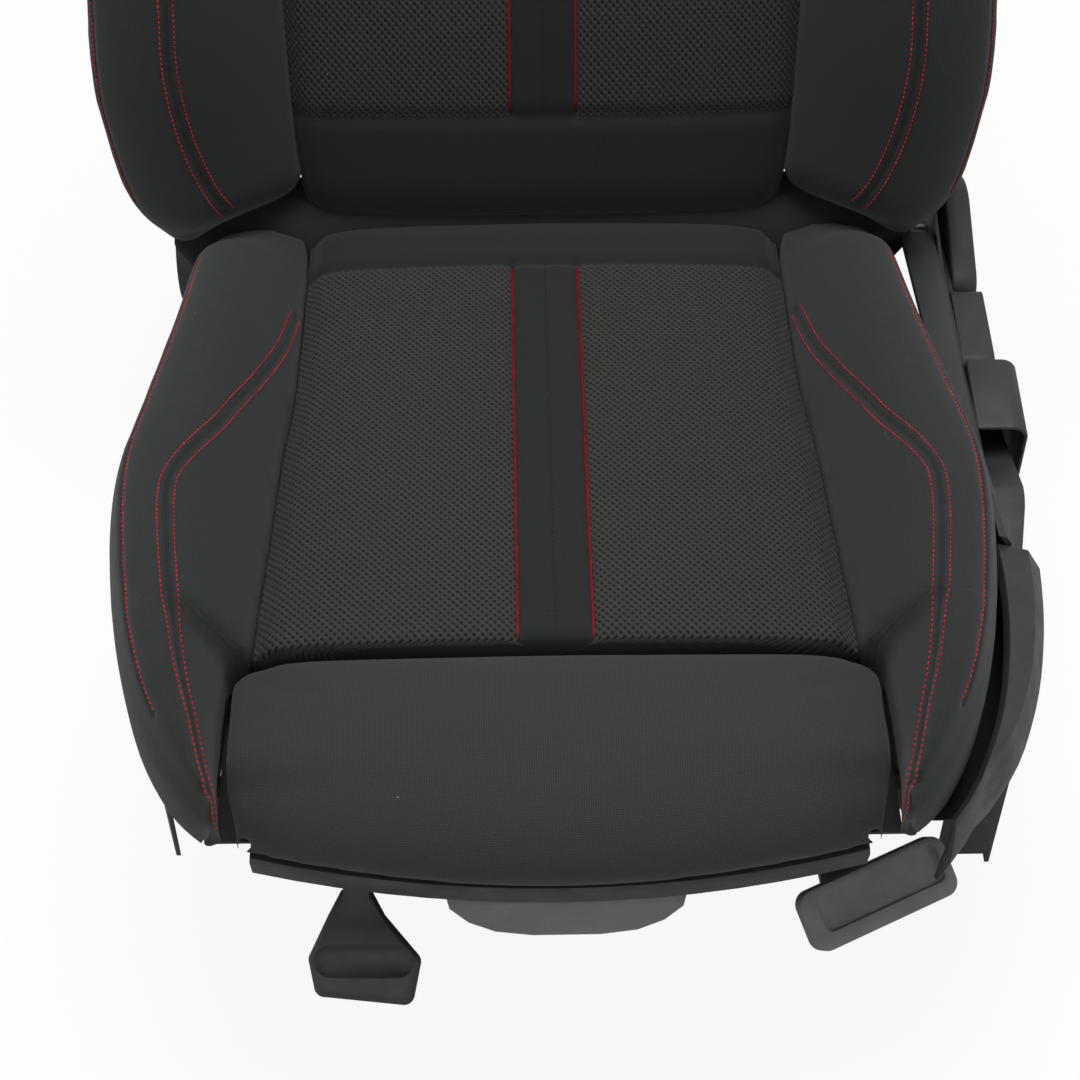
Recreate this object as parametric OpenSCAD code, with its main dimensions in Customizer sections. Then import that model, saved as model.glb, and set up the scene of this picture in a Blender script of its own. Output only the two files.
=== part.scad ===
// Sports seat: cushion and backrest on a height adjuster and sliding rails.
// +X is the outboard side, the seat faces -Y, +Z is up, sizes in millimetres.
// The origin is the middle of the four floor bolts, on the floor.

/* [Floor rails] */
// Distance between the two rails
rail_gauge = 410; // [400:1:420]
// Length of a fixed rail's channel
rail_l = 400; // [380:5:430]
// Width of a fixed rail
rail_w = 50; // [46:1:54]
// Height of a fixed rail
rail_h = 34; // [32:1:38]
// Sheet thickness of the rails
rail_wall = 2.5; // [2:0.1:3]
// Height of the feet that hold the rails off the floor
foot_h = 14; // [12:1:18]
// Sheet thickness of the feet
foot_t = 4; // [3:0.5:5]
// Distance from a rail's end to its floor bolt
bolt_reach = 22; // [18:1:30]
// Diameter of the floor bolt holes
bolt_hole = 11; // [9:0.5:13]
// Length of a sliding rail
slider_l = 410; // [390:5:430]
// Distance of the seat's own datum ahead of the floor bolts' middle
seat_forward = 110; // [95:5:125]

/* [Height adjuster] */
// Height of the lower link pivots above the floor
pivot_h = 64; // [62:1:68]
// Place of the front lower pivots behind the datum
front_pivot = -150; // [-158:2:-142]
// Place of the rear lower pivots behind the datum
rear_pivot = 130; // [120:2:140]
// Length of a link between its pivots
link_l = 80; // [76:1:84]
// Slope of the links at rest
link_rise = 30; // [26:1:33]
// Thickness of a link
link_t = 4; // [3:0.5:5]
// Diameter of a lower link pin
link_pin_d = 12; // [10:0.5:14]
// Outer diameter of a torque tube
torque_d = 22; // [20:0.5:24]

/* [Seat frame] */
// Sheet thickness of a side frame
side_t = 2.5; // [2:0.1:3]
// Distance of the recliner axis behind the datum
recline_y = 258; // [256:1:260]
// Height of the recliner axis above the floor
recline_z = 168; // [166:1:170]
// Diameter of a recliner disc
recliner_d = 72; // [68:1:74]
// Thickness of each recliner half
recliner_t = 6; // [5:0.5:7]
// Diameter of the recliner's cross shaft
shaft_d = 12; // [10:0.5:13]
// Height of the height pump's axis
pump_z = 164; // [162:1:165]
// Place of the height pump behind the datum
pump_y = 50; // [46:1:54]

/* [Cushion] */
// Height of the cushion's centre panel above the floor at the datum
cushion_h = 240.5; // [239:0.5:243]
// Upward slope of the cushion towards the front
cushion_rake = 7; // [6.5:0.25:7.5]
// Thickness of the cushion's foam at the centre panel
cushion_foam = 64; // [62:1:66]
// Height of the cushion's side bolsters
bolster_h = 52; // [46:1:56]
// Half width of the cushion at its widest place
cushion_half = 268; // [264:1:270]
// Half width of the centre strip between its two welts
strip_half = 22.5; // [18:0.5:28]
// Depth of the sewn channels
channel_d = 4; // [2:0.5:6]
// Travel of the thigh support
thigh_travel = 60; // [40:5:65]
// Diameter of a thigh support rod
rod_d = 10; // [8:0.5:11]

/* [Backrest] */
// Slope of the backrest at rest
recline = 22; // [21:0.5:23]
// Distance of the backrest's face ahead of the recliner axis
face_ahead = 47; // [46:0.5:48]
// Height of the face's foot above the recliner axis
face_up = 39; // [38:0.5:40]
// Half width of the backrest at its widest place
back_half = 301; // [292:1:306]
// Reach of the backrest's side bolsters
wing_reach = 82; // [70:1:88]
// Length of the backrest's face
back_l = 612; // [600:2:630]
// Height on the face where the mesh panel starts
mesh_start = 72; // [64:2:80]

/* [Headrest] */
// Distance between the two headrest posts
post_gauge = 140; // [124:2:150]
// Diameter of a headrest post
post_d = 12; // [10:0.5:14]
// Width of the headrest
headrest_w = 270; // [240:5:290]
// Height of the headrest
headrest_h = 190; // [170:5:210]
// Thickness of the headrest
headrest_t = 105; // [95:5:115]

/* [Fits] */
// Running clearance on the radius of a hinge pin
pin_fit = 0.05; // [0.02:0.01:0.1]
// Gap between plates that turn against each other
plate_gap = 0.3; // [0.2:0.05:0.4]
// Gap between two soft pieces that move past each other
soft_gap = 1; // [0.6:0.1:1.4]
// Gap between pieces that are seated on each other
seat_gap = 0.3; // [0.2:0.05:0.4]

/* [Hidden] */
$fn = 48;

rail_x = rail_gauge / 2;
rail_top = foot_h + rail_h;
web_t = 6;
flange_z = foot_h + 8;
lip_gap = 10;
bolt_y = rail_l / 2 + bolt_reach;

link_x = rail_x + web_t / 2 + plate_gap;
plate_x = link_x + link_t + plate_gap;
recliner_x = plate_x + side_t;
recliner_up_x = recliner_x + recliner_t + plate_gap;
member_x = recliner_up_x + recliner_t;
member_t = 2.5;
lever_x = 283;
lever_t = 4;
cover_out = lever_x + lever_t + 19;

link_dy = link_l * cos(link_rise);
link_dz = link_l * sin(link_rise);
upper_z = pivot_h + link_dz;
front_upper = front_pivot + link_dy;
rear_upper = rear_pivot + link_dy;
release_y = -95;
tilt_pin_d = 8;
tilt_x = -121;
tilt_y = -262;
tilt_z = 182;
handle_y = -288;
handle_z = 180;
handle_x = 4;
handle_half = 74;
foam_cut = 51.5;
pan_t = 2;
pan_half = plate_x - 12.6;
bush_d = 18;
pan_front = -278;
rod_x = 110;
rod_z = -57;
carrier_z = -49;
ear_front = -290;
post_y = 34;
headrest_foot = back_l + 28;
collar_h = 12;

// Value on a smooth curve through [place, value] pairs
function span(p, t, i = 0) = (i >= len(p) - 2 || t <= p[i + 1][0]) ? i : span(p, t, i + 1);
function rise(p, i) =
    let (a = max(i - 1, 0), b = min(i + 1, len(p) - 1)) (p[b][1] - p[a][1]) / (p[b][0] - p[a][0]);
function along(p, t) =
    let (i = span(p, t), h = p[i + 1][0] - p[i][0], u = min(max((t - p[i][0]) / h, 0), 1), v = 1 - u)
    p[i][1] * (1 + 2 * u) * v * v + p[i + 1][1] * u * u * (3 - 2 * u)
    + h * u * v * (v * rise(p, i) - u * rise(p, i + 1));
function steps(a, b, n) = [for (i = [0:n]) a + (b - a) * i / n];
// Depth of a sewn groove of a half width at a distance from its middle
function groove(d, half, depth) = abs(d) >= half ? 0 : depth * (1 + cos(180 * d / half)) / 2;

// Closed solid through rings that all have the same count of points
function total(v, i = 0) = i == len(v) - 1 ? v[i] : v[i] + total(v, i + 1);
module skin(rings) {
    n = len(rings[0]);
    last = len(rings) - 1;
    mid = floor(last / 2);
    normal = total([for (k = [0:n - 1]) cross(rings[mid][k], rings[mid][(k + 1) % n])]);
    turn = normal * (rings[mid + 1][0] - rings[mid][0]) < 0;
    sides = [for (r = [0:last - 1], k = [0:n - 1], half = [0, 1])
        let (a = r * n + k, b = r * n + (k + 1) % n)
        half == 0 ? [a, b + n, b] : [a, a + n, b + n]];
    caps = [[for (k = [0:n - 1]) k], [for (k = [n - 1:-1:0]) last * n + k]];
    faces = concat(sides, caps);
    polyhedron([for (ring = rings, p = ring) p],
        turn ? [for (f = faces) [for (k = [len(f) - 1:-1:0]) f[k]]] : faces, convexity = 6);
}

module both() {
    children();
    mirror([1, 0, 0]) children();
}
module seat() { translate([0, -seat_forward, 0]) children(); }
module cushion_place() { seat() translate([0, 0, cushion_h]) rotate([-cushion_rake, 0, 0]) children(); }
module back_place() {
    seat() translate([0, recline_y, recline_z]) rotate([-recline, 0, 0])
        translate([0, -face_ahead, face_up]) children();
}
// Rod along X from x0 to x1 at a place in Y and Z
module xrod(d, x0, x1, y, z) { translate([x0, y, z]) rotate([0, 90, 0]) cylinder(h = x1 - x0, d = d); }
// Plate in the YZ plane from x0 to x1, its outline drawn as [y, z]
module xplate(x0, x1) { translate([x0, 0, 0]) rotate([90, 0, 90]) linear_extrude(x1 - x0) children(); }
// Block between two corners
module block(a, b) { translate(a) cube(b - a); }

// ---- floor rails ----
module rail_section() {
    h = rail_h;
    w = rail_w / 2;
    t = rail_wall;
    hook = h - 10;
    polygon([[-w, 0], [w, 0], [w, h], [lip_gap, h], [lip_gap, hook], [lip_gap + t, hook],
        [lip_gap + t, h - t], [w - t, h - t], [w - t, t], [t - w, t], [t - w, h - t],
        [-lip_gap - t, h - t], [-lip_gap - t, hook], [-lip_gap, hook], [-lip_gap, h], [-w, h]]);
}
module lower_rail() {
    color("dimgray") translate([rail_x, rail_l / 2, foot_h]) rotate([90, 0, 0])
        linear_extrude(rail_l) rail_section();
}
module lower_rail_right() { lower_rail(); }
module lower_rail_left() { mirror([1, 0, 0]) lower_rail(); }
module rail_foot() {
    ledge = 30;
    w = rail_w / 2;
    end = rail_l / 2;
    difference() {
        union() {
            block([rail_x - w, end, 0], [rail_x + w, bolt_y + 18, foot_t]);
            block([rail_x - w, end - foot_t, 0], [rail_x + w, end, foot_h]);
            block([rail_x - w, end - ledge, foot_h - foot_t], [rail_x + w, end, foot_h]);
        }
        translate([rail_x, bolt_y, -1]) cylinder(h = foot_t + 2, d = bolt_hole);
    }
}
module rail_feet() {
    color("silver") both() {
        rail_foot();
        mirror([0, 1, 0]) rail_foot();
    }
}

// ---- sliding rails ----
slider_front = front_pivot - 12;
lip_x = rail_w / 2 - rail_wall - 4.5;
module slider() {
    t = rail_wall;
    color("silver") seat() difference() {
        translate([rail_x, slider_front + slider_l, flange_z]) rotate([90, 0, 0]) linear_extrude(slider_l)
            polygon([[-lip_x, 0], [lip_x, 0], [lip_x, rail_h - 14], [lip_x - t, rail_h - 14], [lip_x - t, t],
                [web_t / 2, t], [web_t / 2, pivot_h + 12 - flange_z], [-web_t / 2, pivot_h + 12 - flange_z],
                [-web_t / 2, t], [t - lip_x, t], [t - lip_x, rail_h - 14], [-lip_x, rail_h - 14]]);
        for (y = [front_pivot, rear_pivot]) xrod(link_pin_d, rail_x - 10, rail_x + 10, y, pivot_h);
        xrod(tilt_pin_d, rail_x - 10, rail_x + 10, release_y, pivot_h);
    }
}
module slider_right() { slider(); }
module slider_left() { mirror([1, 0, 0]) slider(); }
module glide(y) {
    inner = rail_w / 2 - rail_wall - seat_gap;
    for (side = [-1, 1]) translate([rail_x, 0, 0]) mirror([side < 0 ? 1 : 0, 0, 0]) {
        block([6, y, foot_h + rail_wall + seat_gap], [inner, y + 24, flange_z]);
        block([lip_x, y, flange_z], [inner, y + 24, flange_z + 12]);
    }
}
module slide_glides() {
    color("ivory") seat() both() {
        glide(-82);
        glide(66);
    }
}
module headed_pin(d, x0, x1, y, z) {
    head = 2;
    xrod(d, x0, x1, y, z);
    xrod(d + 6, x0 - head, x0, y, z);
    xrod(d + 6, x1, x1 + head, y, z);
}
arm_x = rail_x - web_t / 2 - 10;
arm_t = 5;
module slider_pins() {
    color("gainsboro") seat() both() {
        for (y = [front_pivot, rear_pivot])
            headed_pin(link_pin_d, rail_x - web_t / 2, link_x + link_t + plate_gap, y, pivot_h);
        xrod(tilt_pin_d, arm_x - plate_gap, rail_x + web_t / 2, release_y, pivot_h);
        xrod(tilt_pin_d + 6, arm_x - plate_gap - 2, arm_x - plate_gap, release_y, pivot_h);
    }
}

// ---- slide release ----
release_tube_y = -205;
release_tube_z = 108;
release_tube_d = 14;
module release_arm() {
    dy = release_tube_y - release_y;
    dz = release_tube_z - pivot_h;
    color("dimgray") seat() difference() {
        union() {
            xrod(22, arm_x, arm_x + arm_t, release_y, pivot_h);
            xrod(22, arm_x, arm_x + arm_t, release_tube_y, release_tube_z);
            translate([arm_x, release_y, pivot_h]) rotate([atan2(-dz, -dy), 0, 0])
                block([0, 9 - norm([dy, dz]), -5.5], [arm_t, -6, 5.5]);
            block([arm_x, release_y + 6, rail_top + 7], [arm_x + arm_t, release_y + 54, rail_top + 17]);
            for (i = [0:3])
                block([arm_x - 12, release_y + 21 + 9 * i, rail_top + 9],
                    [arm_x + 1, release_y + 25 + 9 * i, rail_top + 13]);
        }
        xrod(tilt_pin_d + 2 * pin_fit, arm_x - 1, arm_x + arm_t + 1, release_y, pivot_h);
        xrod(release_tube_d, arm_x - 1, arm_x + arm_t + 1, release_tube_y, release_tube_z);
    }
}
module release_arm_right() { release_arm(); }
module release_arm_left() { mirror([1, 0, 0]) release_arm(); }
module release_tube() {
    color("dimgray") seat() xrod(release_tube_d, -arm_x - arm_t, arm_x + arm_t, release_tube_y, release_tube_z);
}
paddle_mid = [192, -283, 141];
paddle_turn = 26;
paddle_tip = 35;
paddle_size = [100, 38, 11];
module paddle_slab(s, r) {
    linear_extrude(s[2], center = true) offset(r) square([s[0] - 2 * r, s[1] - 2 * r], center = true);
}
module slide_release_paddle() {
    stalk_x = 172;
    stalk_w = 26;
    color([0.2, 0.2, 0.19]) seat() union() {
        difference() {
            translate(paddle_mid) rotate([0, 0, paddle_turn]) rotate([paddle_tip, 0, 0]) difference() {
                paddle_slab(paddle_size, 9);
                translate([2, 3, 6]) paddle_slab([paddle_size[0] - 16, paddle_size[1] - 14, 8], 5);
            }
            xrod(release_tube_d, stalk_x - 30, stalk_x + 30, release_tube_y, release_tube_z);
        }
        difference() {
            hull() {
                xrod(6, stalk_x - stalk_w / 2, stalk_x + stalk_w / 2, -279.5, 142.5);
                xrod(10, stalk_x - stalk_w / 2, stalk_x + stalk_w / 2, -224, 114);
            }
            xrod(release_tube_d, stalk_x - 30, stalk_x + 30, release_tube_y, release_tube_z);
        }
        difference() {
            union() {
                xrod(release_tube_d + 8, stalk_x - stalk_w / 2, stalk_x + stalk_w / 2, release_tube_y,
                    release_tube_z);
                block([stalk_x - stalk_w / 2, -228, release_tube_z - 2],
                    [stalk_x + stalk_w / 2, release_tube_y, release_tube_z + 8]);
            }
            xrod(release_tube_d, stalk_x - 30, stalk_x + 30, release_tube_y, release_tube_z);
        }
    }
}

// ---- height adjuster links ----
module link(y) {
    eye = 30;
    color("gray") seat() difference() {
        union() {
            xrod(eye, link_x, link_x + link_t, y, pivot_h);
            xrod(eye + 6, link_x, link_x + link_t, y + link_dy, upper_z);
            translate([link_x, y, pivot_h]) rotate([link_rise, 0, 0]) block([0, 0, -13], [link_t, link_l, 13]);
        }
        xrod(link_pin_d + 2 * pin_fit, link_x - 1, link_x + link_t + 1, y, pivot_h);
        xrod(torque_d, link_x - 1, link_x + link_t + 1, y + link_dy, upper_z);
    }
}
module torque_tube(y) {
    end = recliner_x + 1.5;
    color("gray") seat() difference() {
        xrod(torque_d, -end, end, y + link_dy, upper_z);
        xrod(torque_d - 5, -end - 1, end + 1, y + link_dy, upper_z);
    }
}
module front_link_right() { link(front_pivot); }
module front_link_left() { mirror([1, 0, 0]) link(front_pivot); }
module rear_link_right() { link(rear_pivot); }
module rear_link_left() { mirror([1, 0, 0]) link(rear_pivot); }
module front_torque_tube() { torque_tube(front_pivot); }
module rear_torque_tube() { torque_tube(rear_pivot); }

// ---- seat frame ----
// Height of the cushion's centre panel at a place behind the datum
function panel_z(y) = cushion_h - y * tan(cushion_rake);
side_front = -240;
cross_y = -225;
cross_z = 168;
cross_d = 26;
rear_cross_y = recline_y - 14;
rear_cross_z = recline_z - 58;
rear_cross_d = 22;
anchor_y = 150;
anchor_z = 128;
anchor_d = 11;
module side_outline() {
    lobe = recliner_d / 2 + 2;
    difference() {
        union() {
            polygon([[side_front, panel_z(side_front) - 76], [side_front, 150], [-120, 92],
                [recline_y + 8, 92],
                [recline_y + lobe, recline_z - 10], [recline_y - lobe + 4, panel_z(recline_y - lobe) - 56]]);
            translate([recline_y, recline_z]) circle(lobe);
        }
        for (y = [front_upper, rear_upper]) translate([y, upper_z]) circle(d = torque_d + 2 * pin_fit);
        translate([recline_y, recline_z]) circle(d = shaft_d + 2 * pin_fit);
        translate([cross_y, cross_z]) circle(d = cross_d);
        translate([rear_cross_y, rear_cross_z]) circle(d = rear_cross_d);
    }
}
module side_frame() { seat() xplate(plate_x, plate_x + side_t) side_outline(); }
module side_frame_right() { color("dimgray") side_frame(); }
module side_frame_left() {
    nut_l = 10;
    color("dimgray") difference() {
        mirror([1, 0, 0]) union() {
            side_frame();
            seat() xrod(24, recliner_x, recliner_x + nut_l, anchor_y, anchor_z);
        }
        seat() xrod(anchor_d, -recliner_x - nut_l - 1, -plate_x + 1, anchor_y, anchor_z);
    }
}
module cross_tubes() {
    color("dimgray") seat() {
        xrod(cross_d, -recliner_x, recliner_x, cross_y, cross_z);
        xrod(rear_cross_d, -recliner_x, recliner_x, rear_cross_y, rear_cross_z);
    }
}
boss_d = 28;
module recliner() {
    seat() difference() {
        union() {
            xrod(recliner_d, recliner_x, recliner_x + recliner_t, recline_y, recline_z);
            xrod(boss_d, recliner_x, member_x + member_t, recline_y, recline_z);
        }
        xrod(shaft_d + 2 * pin_fit, recliner_x - 1, member_x + member_t + 1, recline_y, recline_z);
    }
}
module recliner_right() { color("silver") recliner(); }
module recliner_left() { color("silver") mirror([1, 0, 0]) recliner(); }
pump_d = 38;
pump_shaft_d = 14;
pump_face = 240;
module height_pump() {
    color("dimgray") seat() union() {
        xrod(pump_d, recliner_x, pump_face, pump_y, pump_z);
        xrod(pump_shaft_d, pump_face, lever_x + 20, pump_y, pump_z);
    }
}

// ---- cushion outline, shared by the foam and the trims round it ----
// Half width of the cushion along its length
function cushion_w(y) = cushion_half + along([[-330, -110], [-315, -90], [-290, -52], [-250, -27],
    [-200, -11], [-130, -1], [-60, -2], [0, -9], [60, -18], [120, -21], [240, -25]], y);
function turn_out(y) =
    let (g = (cushion_w(y + 1) - cushion_w(y - 1)) / 2, n = norm([1, g])) [1 / n, -g / n];
// Point at an offset outside the cushion's outline and a height
function beside(y, d, z) = let (t = turn_out(y)) [cushion_w(y) + d * t[0], y + d * t[1], z];

// ---- outboard trims ----
trim_wall = 3;
trim_face = 282;
valance_back = -88;
trim_low = 128;
function trim_top(y) = panel_z(y) - 14;
function trim_out(y) = max(trim_face, cushion_w(y) + 20);
module side_trim() {
    stations = concat(steps(valance_back + 2, 180, 10), [226]);
    color([0.16, 0.16, 0.16]) seat() difference() {
        union() {
            skin([for (y = stations)
                let (inner = cushion_w(y) + 11, top = trim_top(y), out = trim_out(y))
                [[inner, y, top - trim_wall], [out - trim_wall, y, top - 8], [out - trim_wall, y, trim_low],
                 [out, y, trim_low], [out, y, top - 6], [out - 4, y, top], [inner, y, top + 2]]]);
            xplate(trim_face - trim_wall + 0.3, trim_face - 0.3)
                polygon([[178, trim_low], [recline_y + 44, trim_low + 14], [recline_y + 44, recline_z + 30],
                    [recline_y + 20, recline_z + 44], [178, trim_top(180) - 8]]);
            for (y = [-60, 130]) xrod(16, recliner_x, trim_out(y) - 1, y, 146);
        }
        xrod(shaft_d + 3, trim_face - 20, trim_face + 5, recline_y, recline_z);
        xrod(pump_shaft_d + 3, trim_face - 20, trim_face + 12, pump_y, pump_z);
    }
}
function valance_out(y) = along([[-300, 3], [-262, 12], [-231, 24], [-190, 32], [-140, 37], [-80, 42]], y);
module front_valance() {
    color([0.19, 0.19, 0.19]) seat() union() {
        skin([for (y = steps(-288, valance_back, 18))
            let (o = max(13, valance_out(y)), top = trim_top(y) - 4 - 0.3 * max(0, -y - 230), t = trim_wall,
                b = max(12, o * 0.75), e = max(8, o - 8), low = 156 + 16 * min(1, max(0, -y - 235) / 35))
            [beside(y, 7, top - 4), beside(y, b - t, top - 14), beside(y, o - t, 202),
                beside(y, e - t, low + 1),
             beside(y, e, low), beside(y, o, 196), beside(y, o, 206), beside(y, b, top - 8),
                 beside(y, 10.5, top)]]);
        xrod(18, recliner_x, cushion_w(-150) + 32.5, -150, 180);
        xrod(18, recliner_x, cushion_w(-205) + 25.5, -205, 180);
    }
}
module rail_skirt() {
    skirt_y = -210;
    t = 2.5;
    color([0.15, 0.15, 0.15]) seat() union() {
        block([246, skirt_y, 66], [281, skirt_y + t, 154]);
        block([278, skirt_y, 56], [281, skirt_y + 110, 154]);
        block([246, skirt_y, 66], [281, skirt_y + 10, 66 + t]);
        xrod(14, recliner_x, 281, skirt_y + 30, 146);
    }
}
module side_trim_left() {
    notch = anchor_d / 2 + 7;
    color([0.15, 0.15, 0.15]) seat() mirror([1, 0, 0]) difference() {
        union() {
            skin([for (y = steps(-235, 196, 12))
                let (x = cushion_w(y) - 14, top = panel_z(y) - 63)
                [[x, y, top], [x, y, trim_low - 10], [x + trim_wall, y, trim_low - 10],
                    [x + trim_wall, y, top]]]);
            xrod(16, recliner_x, cushion_w(-60) - 12, -60, 142);
            xrod(16, recliner_x, cushion_w(120) - 12, 120, 134);
        }
        xrod(2 * notch, plate_x, trim_face, anchor_y, anchor_z);
        block([plate_x, anchor_y - notch, trim_low - 20], [trim_face, anchor_y + notch, anchor_z]);
    }
}
shroud = [[trim_face, 24, 146], [317, 86, 216]];
module shroud_outline(w, h, r) {
    translate([w - r, h - r]) circle(r);
    square([w - r, h]);
    square([w, h - r]);
}
module lever_shroud() {
    a = shroud[0];
    b = shroud[1];
    t = trim_wall;
    w = b[0] - a[0];
    h = b[2] - a[2];
    color([0.17, 0.17, 0.17]) seat() difference() {
        translate([a[0], b[1], a[2]]) rotate([90, 0, 0]) union() {
            linear_extrude(b[1] - a[1]) difference() {
                shroud_outline(w, h, 12);
                translate([-1, -1]) shroud_outline(w - t + 1, h - t + 1, 12 - t);
            }
            linear_extrude(t) shroud_outline(w, h, 12);
        }
        block([a[0] - 1, a[1] - 1, a[2] - 1], [a[0] + 8, a[1] + 30, a[2] + 8]);
    }
}
module recliner_cover_right() {
    x0 = lever_x + lever_t + 1;
    color([0.17, 0.17, 0.17]) seat() difference() {
        union() {
            xplate(x0, cover_out) hull() {
                translate([recline_y - 2, recline_z]) circle(42);
                translate([196, 178]) circle(16);
                translate([recline_y + 20, recline_z - 10]) circle(34);
            }
            block([trim_face, recline_y + 34, recline_z - 24], [x0 + 2, recline_y + 42, recline_z + 14]);
        }
        xrod(shaft_d + 4, x0 - 1, x0 + 4, recline_y, recline_z);
    }
}
module recliner_cover_left() {
    color([0.17, 0.17, 0.17]) seat() difference() {
        union() {
            xrod(88, -262, -member_x - member_t - 2, recline_y, recline_z);
            xrod(16, -240, -recliner_x, recline_y - 6, recline_z - 74);
            block([-240, recline_y - 14, recline_z - 74], [-member_x - member_t - 2, recline_y + 2,
                recline_z - 30]);
        }
        xrod(shaft_d + 6, -256, -member_x, recline_y, recline_z);
    }
}

// ---- levers on the outboard side ----
module height_lever() {
    hub = 30;
    color([0.2, 0.2, 0.2]) seat() difference() {
        union() {
            xrod(hub, lever_x + 2, 308, pump_y, pump_z);
            hull() {
                xrod(24, lever_x + 3, 306, 30, 178);
                xrod(30, lever_x + 5, 308, -20, 190);
                xrod(24, lever_x + 5, 300, -66, 190);
            }
            hull() {
                xrod(24, lever_x + 3, 306, 30, 178);
                xrod(26, lever_x + 3, 306, pump_y, pump_z + 1);
            }
        }
        xrod(pump_shaft_d + 2 * pin_fit, lever_x - 1, lever_x + 20 + seat_gap, pump_y, pump_z);
    }
}
module recline_shaft() {
    color("silver") seat() xrod(shaft_d, -member_x - member_t - 3, lever_x + lever_t, recline_y, recline_z);
}
module recline_lever() {
    grip = 18;
    color([0.19, 0.19, 0.19]) seat() difference() {
        union() {
            xrod(32, lever_x, lever_x + lever_t, recline_y, recline_z);
            hull() {
                xrod(26, lever_x, lever_x + lever_t, recline_y - 6, recline_z);
                xrod(16, lever_x, lever_x + lever_t, 150, 188);
            }
            hull() {
                xrod(24, lever_x, lever_x + lever_t + grip, 158, 190);
                xrod(22, lever_x, lever_x + lever_t + grip, 102, 193);
            }
        }
        xrod(shaft_d, lever_x - 1, lever_x + lever_t + 1, recline_y, recline_z);
    }
}

// ---- cushion ----
// The recliner axis seen from the cushion's own frame
axis_y = recline_y * cos(cushion_rake) - (recline_z - cushion_h) * sin(cushion_rake);
axis_z = recline_y * sin(cushion_rake) + (recline_z - cushion_h) * cos(cushion_rake);
insert_front = -182;
thigh_back = -184.5;
thigh_half = 193;
foam_low = -44;
pan_z = -cushion_foam;
function insert_w(y) = along([[-185, 180], [-125, 177], [-70, 174], [0, 171], [60, 166], [240, 164]], y);
module foam_clear() { xrod(2 * foam_cut, -400, 400, axis_y, axis_z); }
module cushion_pan() {
    ear = 16;
    color("dimgray") cushion_place() difference() {
        union() {
            block([-pan_half, pan_front, pan_z - pan_t], [pan_half, 196, pan_z]);
            both() {
                block([pan_half - pan_t, -176, pan_z], [pan_half, 196, foam_low - pan_t]);
                block([pan_half - pan_t, -176, foam_low - pan_t - seat_gap], [236, 176, foam_low - seat_gap]);
                xplate(pan_half - pan_t, pan_half) polygon([[160, pan_z - pan_t], [196, pan_z - pan_t],
                    [axis_y, axis_z - ear], [axis_y, axis_z + ear], [218, foam_low - pan_t],
                        [160, foam_low - pan_t]]);
                xrod(2 * ear, pan_half - pan_t, pan_half, axis_y, axis_z);
            }
        }
        xrod(bush_d + 2 * pin_fit, -pan_half - 1, pan_half + 1, axis_y, axis_z);
    }
}
module pan_pins() {
    color("gainsboro") seat() both() difference() {
        union() {
            xrod(bush_d, pan_half - pan_t - 2, plate_x, recline_y, recline_z);
            xrod(bush_d + 8, pan_half + 1, plate_x, recline_y, recline_z);
        }
        xrod(shaft_d + 1, pan_half - pan_t - 3, plate_x + 1, recline_y, recline_z);
    }
}
guide_front = -275;
guide_rear = -160;
module thigh_guides() {
    w = 11;
    color("ivory") cushion_place() both() for (y = [guide_front, guide_rear]) difference() {
        block([rod_x - w, y, pan_z], [rod_x + w, y + 12, carrier_z - 2]);
        translate([rod_x, y - 1, rod_z]) rotate([-90, 0, 0]) cylinder(h = 14, d = rod_d + 2 * pin_fit);
    }
}
bracket_gap = 14;
module tilt_bracket() {
    under = (cushion_foam + pan_t) / cos(cushion_rake);
    color("silver") seat() for (side = [-1, 1]) difference() {
        xplate(tilt_x + side * (bracket_gap / 2 + 1.5) - 1.5, tilt_x + side * (bracket_gap / 2 + 1.5) + 1.5)
            polygon([[tilt_y - 10, tilt_z - 9], [tilt_y + 10, tilt_z - 9],
                [tilt_y + 16, panel_z(tilt_y + 16) - under], [tilt_y - 12, panel_z(tilt_y - 12) - under]]);
        xrod(tilt_pin_d, tilt_x - 20, tilt_x + 20, tilt_y, tilt_z);
    }
    color("silver") seat()
        xrod(tilt_pin_d, tilt_x - bracket_gap / 2 - 4, tilt_x + bracket_gap / 2 + 4, tilt_y, tilt_z);
}
// Height of the centre panel's top across its width
function crown(x, w, high) = high * (1 - pow(x / w, 2)) - 6 * pow(abs(x) / w, 10);
function welts(x) = groove(abs(x) - strip_half, 7, channel_d) + groove(x, 5, channel_d / 2);
module cushion_insert() {
    rear = 240;
    stations = concat([insert_front, insert_front + 4], steps(-160, 150, 8), [172, 179, 186, 205, 222, rear]);
    function top_z(x, y, w) = crown(x, w, 4) - welts(x) * (y > 176 ? 0 : 1) - groove(y - 179, 8, channel_d)
        - (y < insert_front + 1 ? 5 : 0) - pow(max(0, y - 196) / 44, 2) * 12;
    color([0.13, 0.13, 0.12]) cushion_place() difference() {
        skin([for (y = stations)
            let (w = insert_w(y) - seat_gap,
                xs = [-w, -0.93 * w, -0.6 * w, -0.3 * w, -strip_half - 7, -strip_half, -strip_half + 7, 0,
                    strip_half - 7, strip_half, strip_half + 7, 0.3 * w, 0.6 * w, 0.93 * w, w])
            concat([for (x = xs) [x, y, top_z(x, y, w)]], [[w - 3, y, pan_z + seat_gap],
                [3 - w, y, pan_z + seat_gap]])]);
        foam_clear();
        both() block([rod_x - 13, insert_front - 1, pan_z - 1], [rod_x + 13, -70, carrier_z + 1]);
    }
}
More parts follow.
